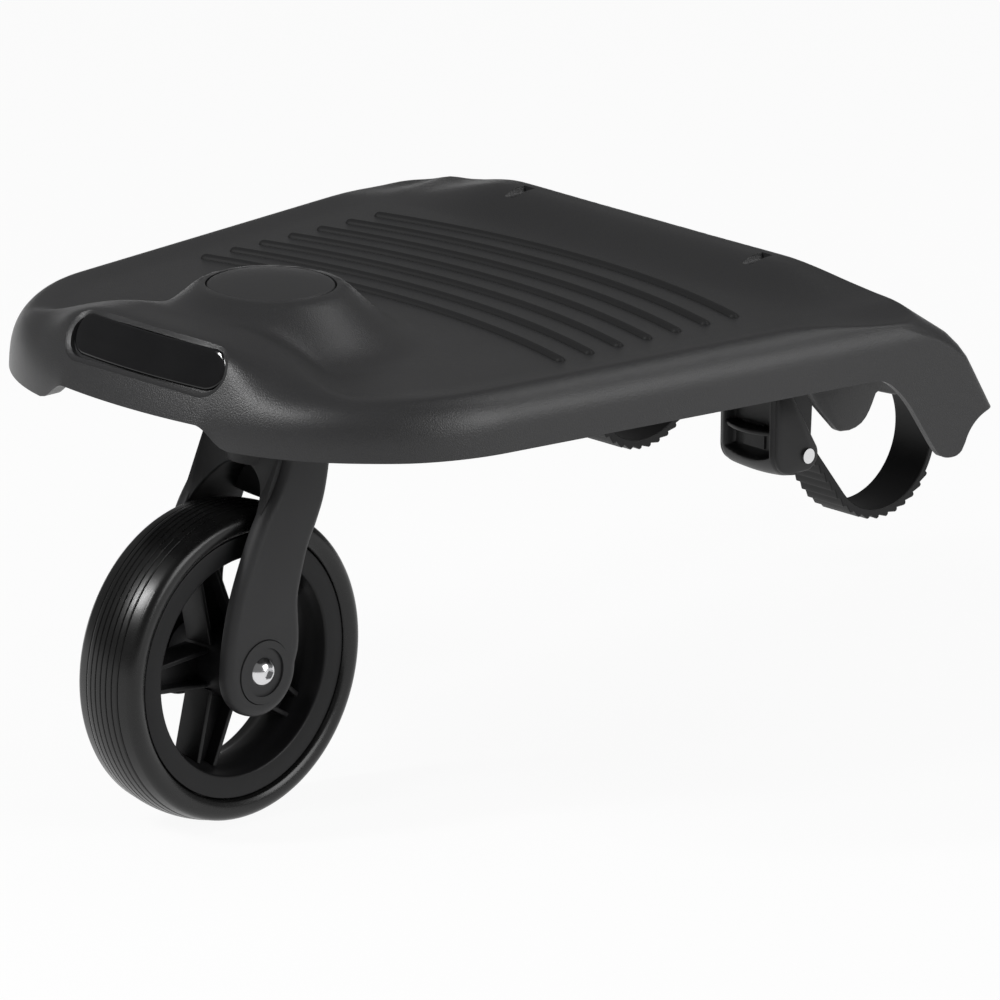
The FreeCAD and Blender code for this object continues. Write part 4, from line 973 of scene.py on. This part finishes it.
RIB_FIRST_X, RIB_PITCH, RIB_COUNT, RIB_WALL, RIB_LOW_Z = -260.0, 42.0, 5, 2.5, 70.0
RIB_BITE, RIB_GAP, RIB_ROLL_BITE = 0.6, 0.2, 0.4
LONG_RIB_Y, LONG_RIB_END_X = (120.0, 39.5), -92.0
TOWER_R, TOWER_BORE_R, TOWER_LOW_Z, TOWER_TOP_Z = 30.0, 10.2, 54.0, 112.0
TOWER_ROUND, BORE_ROUND = 1.5, 0.6
SADDLE_LOW_Y, SADDLE_HIGH_Y, SADDLE_ROUND, SADDLE_TIP_R = -122.5, -117.5, 1.0, 2.5
SADDLE_TIP, SADDLE_TIP_AFTER = (-60.4, 23.0), (-49.5, 23.1)
SADDLE_BACK = ((-96.0, 80.0), (-88.0, 60.0), (-79.8, 46.2), (-74.4, 37.4))
SADDLE_SEAT = ((-54.0, 22.6), (-49.5, 23.2), (-45.8, 24.6), (-43.0, 26.8), (-40.8, 29.6), (-39.0, 32.6),
               (-37.6, 35.4), (-36.7, 37.2), (-35.2, 37.9), (-33.4, 37.3), (-24.0, 34.2), (-17.0, 35.2),
               (-17.0, 39.0), (-27.0, 56.0), (-37.0, 73.0), (-44.0, 80.0))
EAR_R, EAR_WALL, EAR_GAP, EAR_ROUND, EAR_TOP_Z = 8.0, 4.0, 0.5, 0.7, 76.0
EAR_REAR = ((-21.8, 47.0), (-27.0, 56.0), (-36.6, 73.0))
SCREW_X, SCREW_OUT, BOSS_POST_R, BOSS_POST_Z, BOSS_POST_COUNT = -67.0, 25.0, 5.0, (64.0, 92.0), 32


def rib_across(x):
    """A rib from side to side, under the floor and inside the roll."""
    reach = float(half_width_at(x)) - SKIN - RIB_GAP
    across = np.linspace(-reach, reach, 41)
    inset = np.clip((reach + RIB_GAP - np.abs(across)) / ROLL_W, 0, 1)
    under_roll = APRON_KNEE[1] + ROLL_H * np.sqrt(1 - (1 - inset) ** 2) + RIB_ROLL_BITE
    tops = np.minimum(top_at(x, across) - FLOOR_WALL + RIB_BITE, under_roll)
    outline = [(y, RIB_LOW_Z) for y in across] + list(zip(across[::-1], tops[::-1]))
    return prism(outline, X, (x, x + RIB_WALL))


def long_rib(y):
    """A rib from the swivel tower towards the stroller end."""
    low, high = y - RIB_WALL / 2, y + RIB_WALL / 2
    plan = [(SWIVEL_X, low), (LONG_RIB_END_X, low), (LONG_RIB_END_X, high), (SWIVEL_X, high)]
    return prism(plan, Z, (RIB_LOW_Z, FLOOR_Z - FLOOR_WALL + RIB_BITE))


def swivel_tower():
    foot, top = (TOWER_R, TOWER_LOW_Z), (TOWER_R, TOWER_TOP_Z)
    bore_top, bore_foot = (TOWER_BORE_R, TOWER_TOP_Z), (TOWER_BORE_R, TOWER_LOW_Z)
    profile = fillet(foot, bore_foot, top, TOWER_ROUND) + [top, bore_top]
    profile += fillet(bore_foot, bore_top, foot, BORE_ROUND)
    return turned(profile, (SWIVEL_X, 0.0, 0.0), Z, MEDIUM_ROUND)


def saddle_outline():
    tip = fillet(SADDLE_TIP, SADDLE_BACK[-1], SADDLE_TIP_AFTER, SADDLE_TIP_R)
    return list(SADDLE_BACK) + tip + list(SADDLE_SEAT)


def ear_outline():
    """A strap ear in side view, round below the anchor pin."""
    turns = np.linspace(0, math.pi, 14)
    low = [(ANCHOR[0] - EAR_R * math.cos(t), ANCHOR[1] - EAR_R * math.sin(t)) for t in turns[1:-1]]
    front, rear = ANCHOR[0] - EAR_R, ANCHOR[0] + EAR_R
    return [(front, EAR_TOP_Z), (front, ANCHOR[1])] + low + [(rear, ANCHOR[1])] + list(EAR_REAR)


def underside():
    made = Parts()
    for k in range(RIB_COUNT):
        made.add(*rib_across(RIB_FIRST_X + RIB_PITCH * k))
    for y in LONG_RIB_Y:
        made.add(*long_rib(y), mirror=True)
    made.add(*swivel_tower())
    made.add(*side_plate(saddle_outline(), SADDLE_LOW_Y, SADDLE_HIGH_Y, SADDLE_ROUND), mirror=True)
    ear_seat = STRAP_W / 2 + EAR_GAP
    for low in (STRAP_Y + ear_seat, STRAP_Y - ear_seat - EAR_WALL):
        made.add(*side_plate(ear_outline(), low, low + EAR_WALL, EAR_ROUND), mirror=True)
    for y in (STRAP_Y - SCREW_OUT, STRAP_Y + SCREW_OUT):
        made.add(*post(SCREW_X, y, BOSS_POST_R, *BOSS_POST_Z, BOSS_POST_COUNT), mirror=True)
    return made


under_piece = underside().build("deck_underside", DECK, smooth_deg=35.0)
ride_board(under_piece, "deck_plastic")


# Fork

AXLE = (-339.2, 0.0, -57.8)
LEG_FRONT = ((-361.0, -57.8), (-359.6, -42.0), (-355.6, -24.0), (-349.0, -6.0), (-340.6, 12.0),
             (-330.6, 27.0), (-325.0, 40.0), (-324.0, 50.0))
LEG_REAR = ((-295.0, 50.0), (-296.2, 38.0), (-297.6, 28.0), (-300.2, 17.2), (-304.6, 6.7), (-309.8, -4.0),
            (-314.0, -18.0), (-315.8, -28.0), (-315.0, -43.0), (-315.4, -51.0), (-317.4, -57.8))
LEG_INNER, LEG_OUTER, LEG_END_R = 22.1, 30.1, 21.8
LEG_OUTER_ROUND, LEG_INNER_ROUND = 5.0, 1.2
INSERT_SEAT_R, INSERT_SEAT_DEPTH, CUT_OVER = 15.4, 2.6, 4.0
BRIDGE_HALF, BRIDGE_TOP_Z, BRIDGE_FOOT_Z, BRIDGE_INSET = 26.0, 50.0, 2.0, 1.0
WHEEL_ARCH_HALF, WHEEL_ARCH_Z, WHEEL_ARCH_RISE = 22.6, 6.0, 28.0
BRIDGE_EASING = ((0.0, 1.6), (0.012, 0.7), (0.035, 0.15), (0.08, 0.0))
PIN_SEAT_R, PIN_SEAT_Z = 21.0, (34.0, 50.0)
HOOD_HALF, HOOD_LOW_Z, HOOD_BOW, HOOD_TOP_Z, HOOD_ROUND = 23.0, 12.0, 1.5, 44.0, 0.6
FORK_SMOOTH = 40.0


def fork_leg():
    """One leg in side view: front edge up, rear edge down and the round end, broadly rounded outside."""
    outline = curve_through(LEG_FRONT, 8) + curve_through(LEG_REAR, 8)
    for t in np.linspace(0, math.pi, 40)[1:-1]:
        outline.append((AXLE[0] + LEG_END_R * math.cos(t), AXLE[2] - LEG_END_R * math.sin(t)))
    return side_plate(outline, -LEG_OUTER, -LEG_INNER, LEG_OUTER_ROUND, levels=6, high_edge=LEG_INNER_ROUND)


def fork_crown():
    """The bridge between the legs, arched over the wheel, with its ends eased."""
    arch = [(WHEEL_ARCH_HALF * math.cos(t), WHEEL_ARCH_Z + WHEEL_ARCH_RISE * math.sin(t))
            for t in np.linspace(0, math.pi, 41)]
    foot = [(BRIDGE_HALF, BRIDGE_TOP_Z), (BRIDGE_HALF, BRIDGE_FOOT_Z), (WHEEL_ARCH_HALF, BRIDGE_FOOT_Z)]
    outline = foot + arch + [(-y, z) for y, z in reversed(foot)]
    front, rear = np.array(LEG_FRONT), np.array(LEG_REAR[::-1])
    rings = []
    for share, inset in BRIDGE_EASING + tuple((1 - share, inset) for share, inset in BRIDGE_EASING[::-1]):
        ring = []
        for y, z in outline:
            lift = inset if abs(y) < BRIDGE_HALF and z > BRIDGE_FOOT_Z else 0.0
            z = min(z + lift, BRIDGE_TOP_Z)
            low = np.interp(z, front[:, 1], front[:, 0]) + BRIDGE_INSET
            high = np.interp(z, rear[:, 1], rear[:, 0]) - BRIDGE_INSET
            ring.append((low + (high - low) * share, y, z))
        rings.append(ring)
    return loft(rings)


def fork_hood():
    """The wall that closes the back of the arch, down to just above the tyre."""
    rings = []
    for y in np.linspace(-HOOD_HALF, HOOD_HALF, 25):
        low = HOOD_LOW_Z + HOOD_BOW * (y / HOOD_HALF) ** 2
        eased = low + HOOD_ROUND
        section = ((-309.5, eased), (-308.9, low), (-305.6, low), (-305.0, eased),
                   (-301.5, HOOD_TOP_Z), (-306.0, HOOD_TOP_Z))
        rings.append(lifted(section, Y, y))
    return loft(rings)


for side, sign in SIDES:
    points, faces = fork_leg()
    points = [(x, -sign * y, z) for x, y, z in points]
    leg = build("fork_leg_" + side, points, faces, FORK, FORK_SMOOTH, APART)
    seat_ends = sign * (LEG_OUTER + CUT_OVER), sign * (LEG_OUTER - INSERT_SEAT_DEPTH)
    seat = prism(circle(AXLE[0], AXLE[2], INSERT_SEAT_R, MEDIUM_ROUND), Y, seat_ends)
    carve(leg, [solid("insert_seat", *seat)], FORK_SMOOTH)
    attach(leg, "caster")
    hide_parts("fork")
bridge = Parts()
bridge.add(*fork_crown())
bridge.add(*post(SWIVEL_X, 0, PIN_SEAT_R, *PIN_SEAT_Z))
bridge.add(*fork_hood())
crown = bridge.build("fork_crown", FORK, FORK_SMOOTH)
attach(crown, "caster")


# Release levers

LEVER_FACE_X, LEVER_LOW_Z, LEVER_TOP_Z, LEVER_HALF, LEVER_WALL = -78.0, -2.0, 46.0, 19.0, 3.4
LEVER_SIDE_R, LEVER_CHIN_R, LEVER_SHELL, LEVER_SHELL_RISE = 4.0, 12.0, 3.0, 1.5
LEVER_BELLY, LEVER_BELLY_RUN = 1.6, 10.0
LEVER_PIN, LEVER_BORE_R, LEVER_HEEL_R, LEVER_SMOOTH = (-57.0, 6.0), 2.7, 7.5, 40.0
SCOOP_HALF, SCOOP_LOW_Z, SCOOP_TOP_GAP, SCOOP_BOW = 15.0, 4.0, 3.5, 0.016
SCOOP_DEPTH, SCOOP_EDGE, SCOOP_CHIN = 5.5, 2.6, 8.0
SHELF_Z, SHELF_HALF_WALL, SHELF_HALF, SHELF_ROOT_X = 19.0, 1.3, 14.6, -71.5
SHELF_BOW, SHELF_BOW_HALF, SHELF_BACK, SHELF_ROUND = 3.6, 14.0, 0.6, 1.0
CHEEK_CHIN, CHEEK_CHIN_R, CHEEK_ROUND = (-67.0, 8.6), 10.0, 1.2
CHEEK_FRONT = ((-77.0, 20.0), (-77.0, 44.0), (-76.0, LEVER_TOP_Z), (-72.5, LEVER_TOP_Z), (-70.5, 43.0))
PAWL = ((-73.4, 9.5), (-73.4, 21.5), (-63.7, 16.0), (-60.9, 18.2), (-58.8, 15.4), (-59.5, 9.8))
PAWL_HALF, PAWL_ROUND, HUB_R = 7.0, 0.3, 4.2
HUB = ((LEVER_BORE_R, -PAWL_HALF), (HUB_R, -PAWL_HALF), (HUB_R, PAWL_HALF), (LEVER_BORE_R, PAWL_HALF))
BORE_HALF = 30.0


def lever_front_at(a, z):
    """Where the lever's front wall stands: rolled at its sides and chin, with a deep finger scoop."""
    side = max(0.0, abs(a) - LEVER_HALF + LEVER_SIDE_R)
    chin = min(LEVER_CHIN_R, max(0.0, LEVER_LOW_Z + LEVER_CHIN_R - z))
    curl = LEVER_SIDE_R - math.sqrt(max(0.0, LEVER_SIDE_R ** 2 - side ** 2))
    curl += LEVER_CHIN_R - math.sqrt(LEVER_CHIN_R ** 2 - chin ** 2)
    above = z - (SCOOP_LOW_Z + SCOOP_BOW * a ** 2)
    inside = min(SCOOP_HALF - abs(a), above, LEVER_TOP_Z - SCOOP_TOP_GAP - z)
    scoop = SCOOP_DEPTH * float(ease(inside / SCOOP_EDGE)) * float(1 - ease(chin / SCOOP_CHIN))
    return LEVER_FACE_X + curl + scoop


def lever_belly_at(a, z):
    """The height of a row of the lever's front wall, which sags in the middle towards its lower edge."""
    low = max(0.0, 1 - (z - LEVER_LOW_Z) / LEVER_BELLY_RUN)
    return z - LEVER_BELLY * (1 - (a / LEVER_HALF) ** 2) * low


def lever_face():
    wide = LEVER_HALF - 0.5
    side = np.linspace(11.0, wide, 17)
    across = np.concatenate((-side[::-1], np.linspace(-10.0, 10.0, 15), side))
    heights = np.concatenate((np.linspace(LEVER_LOW_Z, 14.0, 26), np.linspace(15.5, 36.0, 10),
                              np.linspace(37.0, LEVER_TOP_Z, 15)))
    rings = []
    for height in heights:
        front = [(lever_front_at(a, height), a, lever_belly_at(a, height)) for a in across]
        rear = [(x + LEVER_SHELL, a, min(z + LEVER_SHELL_RISE, LEVER_TOP_Z)) for x, a, z in reversed(front)]
        rings.append(front + rear)
    return loft(rings)


def finger_shelf():
    """The half-moon shelf across the scoop."""
    outline = []
    for a in np.linspace(-SHELF_HALF, SHELF_HALF, 31):
        outline.append((LEVER_FACE_X + SHELF_BACK - SHELF_BOW * (1 - (a / SHELF_BOW_HALF) ** 2), a))
    outline += [(SHELF_ROOT_X, SHELF_HALF), (SHELF_ROOT_X, -SHELF_HALF)]
    points, faces = side_plate(outline, SHELF_Z - SHELF_HALF_WALL, SHELF_Z + SHELF_HALF_WALL, SHELF_ROUND)
    return [(x, a, z) for x, z, a in points], faces


def lever_cheek():
    """A side wall of the lever, cut back along the strap's tail."""
    heel = [(LEVER_PIN[0] + LEVER_HEEL_R * math.cos(t), LEVER_PIN[1] + LEVER_HEEL_R * math.sin(t))
            for t in np.linspace(math.radians(35), -math.pi / 2, 16)]
    chin = [(CHEEK_CHIN[0] - CHEEK_CHIN_R * math.sin(t), CHEEK_CHIN[1] - CHEEK_CHIN_R * math.cos(t))
            for t in np.linspace(0.05, math.pi / 2, 10)]
    return heel + chin + list(CHEEK_FRONT)


for side, sign in SIDES:
    middle = sign * STRAP_Y
    body = Parts()
    for points, faces in (lever_face(), finger_shelf()):
        body.add([(x, middle + a, z) for x, a, z in points], faces)
    body.add(*side_plate(PAWL, middle - PAWL_HALF, middle + PAWL_HALF, PAWL_ROUND))
    lever = body.build("release_lever_" + side, BUCKLE, LEVER_SMOOTH)
    cheeks = Parts()
    for low in (middle - LEVER_HALF, middle + LEVER_HALF - LEVER_WALL):
        cheeks.add(*side_plate(lever_cheek(), low, low + LEVER_WALL, CHEEK_ROUND))
    walls = cheeks.build("lever_cheeks_" + side, BUCKLE, LEVER_SMOOTH)
    bore_ends = middle - BORE_HALF, middle + BORE_HALF
    bore = prism(circle(*LEVER_PIN, LEVER_BORE_R, SMALL_ROUND), Y, bore_ends)
    carve(walls, [solid("pin_bore", *bore)], LEVER_SMOOTH)
    hub = turned(HUB, (LEVER_PIN[0], middle, LEVER_PIN[1]), Y, SMALL_ROUND)
    sleeve = build("lever_hub_" + side, *hub, BUCKLE, smooth_deg=35.0)
    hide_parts("buckle_lever_" + side)
    for piece in (lever, walls, sleeve):
        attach(piece, "lever_" + side)


# Wheel

WHEEL_R, TYRE_COUNT, RIM_COUNT = 75.0, 192, 160
TREAD_HALF, TREAD_CROWN = 15.0, 2.4
GROOVE_PITCH, GROOVE_LAND, GROOVE_HALF, GROOVE_EASE = 3.4, 1.1, 0.32, 0.18
GROOVE_FLOOR, GROOVE_DEPTH = 0.15, 0.6
TYRE_SIDE = ((58.2, 0.0), (58.2, 12.4), (62.7, 12.4), (62.7, 16.0), (63.1, 16.5), (63.4, 17.3), (64.2, 17.9),
             (66.0, 18.5), (68.0, 18.75), (69.6, 18.5), (71.0, 17.9), (72.0, 17.0), (72.7, 15.9),
             (73.05, TREAD_HALF))
RIM_SIDE = ((57.9, 0.0), (57.9, 12.5), (62.4, 12.5), (62.4, 16.0), (62.1, 16.45), (61.6, 16.6), (53.0, 16.6),
            (52.4, 16.5), (51.9, 16.1), (51.6, 15.4), (50.9, 12.0), (49.9, 9.0), (48.9, 7.2), (48.2, 5.0),
            (47.6, 2.0))
RIM_INNER_R = 47.5
WHEEL_HUB_SIDE = ((9.2, -18.5), (15.0, -18.5), (15.7, -18.1), (16.0, -17.3), (16.4, -9.0), (16.8, 0.0))
WHEEL_HUB_BORE_R = 9.2
SPOKE_COUNT, SPOKE_ROOT, SPOKE_TIP = 5, 14.5, 48.4
SPOKE_WEB = ((SPOKE_ROOT, -8.4), (SPOKE_TIP, -5.6), (SPOKE_TIP, 5.6), (SPOKE_ROOT, 8.4))
SPOKE_WALL = ((SPOKE_ROOT, 9.5), (SPOKE_TIP, 6.5), (SPOKE_TIP, 4.1), (SPOKE_ROOT, 7.1))
SPOKE_WEB_HALF, SPOKE_WEB_ROUND, SPOKE_WALL_HALF, SPOKE_WALL_ROUND = 1.5, 0.2, 8.0, 0.6


def both_sides(half):
    """A section with the other side of the wheel added, mirrored."""
    return list(half) + [(r, -y) for r, y in reversed(half) if y]


def tyre_profile():
    """Half of the tyre's section from its seat to the middle of the tread, then mirrored."""
    crown_r = (TREAD_HALF ** 2 + TREAD_CROWN ** 2) / (2 * TREAD_CROWN)
    outer, inner = GROOVE_HALF + GROOVE_EASE, GROOVE_HALF
    edge = ((GROOVE_LAND, 0), (outer, 0), (inner, GROOVE_EASE), (GROOVE_FLOOR, GROOVE_DEPTH))
    half = list(TYRE_SIDE)
    for k in (3, 2, 1, 0):
        groove = [(GROOVE_PITCH * k + off, sink) for off, sink in edge]
        if k:
            groove += [(GROOVE_PITCH * k - off, sink) for off, sink in reversed(edge)]
        else:
            groove.append((0.0, GROOVE_DEPTH))
        half += [(WHEEL_R - crown_r + math.sqrt(crown_r ** 2 - y ** 2) - sink, y) for y, sink in groove]
    return both_sides(half)


tyre = build("tyre_rubber", *turned(tyre_profile(), AXLE, Y, TYRE_COUNT), TYRE, smooth_deg=40.0)
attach(tyre, "wheel")
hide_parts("tyre")


def rim_parts():
    """The rim's ring and hub, and its channel spokes."""
    made = Parts()
    made.add(*turned(both_sides(RIM_SIDE + ((RIM_INNER_R, 0.0),)), AXLE, Y, RIM_COUNT))
    made.add(*turned(both_sides(WHEEL_HUB_SIDE) + [(WHEEL_HUB_BORE_R, 0.0)], AXLE, Y, RIM_COUNT))
    for k in range(SPOKE_COUNT):
        turn = 2 * math.pi * (k + 0.5) / SPOKE_COUNT
        c, s = math.cos(turn), math.sin(turn)
        shapes = [side_plate(SPOKE_WEB, -SPOKE_WEB_HALF, SPOKE_WEB_HALF, SPOKE_WEB_ROUND)]
        for sign in (1, -1):
            wall = [(out, sign * across) for out, across in SPOKE_WALL]
            shapes.append(side_plate(wall, -SPOKE_WALL_HALF, SPOKE_WALL_HALF, SPOKE_WALL_ROUND))
        for points, faces in shapes:
            made.add([(AXLE[0] + x * c - z * s, y, AXLE[2] + x * s + z * c) for x, y, z in points], faces)
    return made


rim = rim_parts().build("rim_moulding", RIM, smooth_deg=38.0)
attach(rim, "wheel")
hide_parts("rim")


# Straps

TUBE_R, STRAP_THICK, STRAP_EASE, EYE_R, EYE_ROUND = 32.0, 3.0, 0.4, 6.5, 0.5
TOOTH_H, TOOTH_PITCH, TOOTH_START = 1.6, 6.0, math.radians(-28.0)
TOOTH = ((0.0, 0.0), (0.04, 0.7), (0.12, 0.97), (0.22, 1.0), (0.55, 0.5), (0.9, 0.08))
TAIL_TURN = math.radians(218.0)
TAIL_LEN, TAIL_PLAIN, TAIL_TIP = 62.0, 9.0, 1.6


def strap_stations():
    """Inner and outer points of the strap's side view, from the eye round the loop to the tip of the tail."""
    middle_r = TUBE_R + STRAP_THICK / 2
    lead_turn = math.atan2(ANCHOR[1], ANCHOR[0]) - math.acos(middle_r / np.linalg.norm(ANCHOR))
    tail_dir = np.array((math.sin(TAIL_TURN), -math.cos(TAIL_TURN)))
    tail_out = np.array((math.cos(TAIL_TURN), math.sin(TAIL_TURN)))
    end_turn = TAIL_TURN - 2 * math.pi

    def on_loop(turn, rise):
        way = np.array((math.cos(turn), math.sin(turn)))
        return way * TUBE_R, way * (TUBE_R + STRAP_THICK + rise)

    def on_tail(along, rise):
        inner = tail_out * TUBE_R + tail_dir * along
        return inner, inner + tail_out * (STRAP_THICK + rise)

    across = np.array((math.cos(lead_turn), math.sin(lead_turn))) * (STRAP_THICK / 2)
    step = TOOTH_PITCH / (TUBE_R + STRAP_THICK)
    count = int((TOOTH_START - end_turn) / step)
    first = end_turn + count * step
    stations = [(ANCHOR - across, ANCHOR + across)]
    stations += [on_loop(t, 0) for t in np.linspace(lead_turn, first + 0.02, 60)]
    for k in range(count):
        stations += [on_loop(first - (k + share) * step, TOOTH_H * rise) for share, rise in TOOTH]
    for k in range(int((TAIL_LEN - TAIL_PLAIN) / TOOTH_PITCH)):
        stations += [on_tail((k + share) * TOOTH_PITCH, TOOTH_H * rise) for share, rise in TOOTH]
    plain = TAIL_LEN - TAIL_PLAIN / 2
    stations += [on_tail(plain - 0.5, 0), on_tail(plain, 0), on_tail(TAIL_LEN, TAIL_TIP - STRAP_THICK)]
    return stations


def strap_band(low, high):
    """The strap's band: a section with eased edges at each station."""
    rings = []
    for inner, outer in strap_stations():
        out = (outer - inner) / np.linalg.norm(outer - inner) * STRAP_EASE
        near = [(inner, low + STRAP_EASE), (inner + out, low), (outer - out, low), (outer, low + STRAP_EASE)]
        far = [(place, low + high - y) for place, y in reversed(near)]
        rings.append([(place[0], y, place[1]) for place, y in near + far])
    return loft(rings)


for side, sign in SIDES:
    low, high = sign * STRAP_Y - STRAP_W / 2, sign * STRAP_Y + STRAP_W / 2
    made = Parts()
    made.add(*strap_band(low, high))
    made.add(*side_plate(circle(*ANCHOR, EYE_R, SMALL_ROUND), low, high, EYE_ROUND))
    strap = made.build("toothed_strap_" + side, STRAP, smooth_deg=30.0)
    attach(strap, "strap_" + side)
    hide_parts("strap_" + side)


photo_camera()
studio()
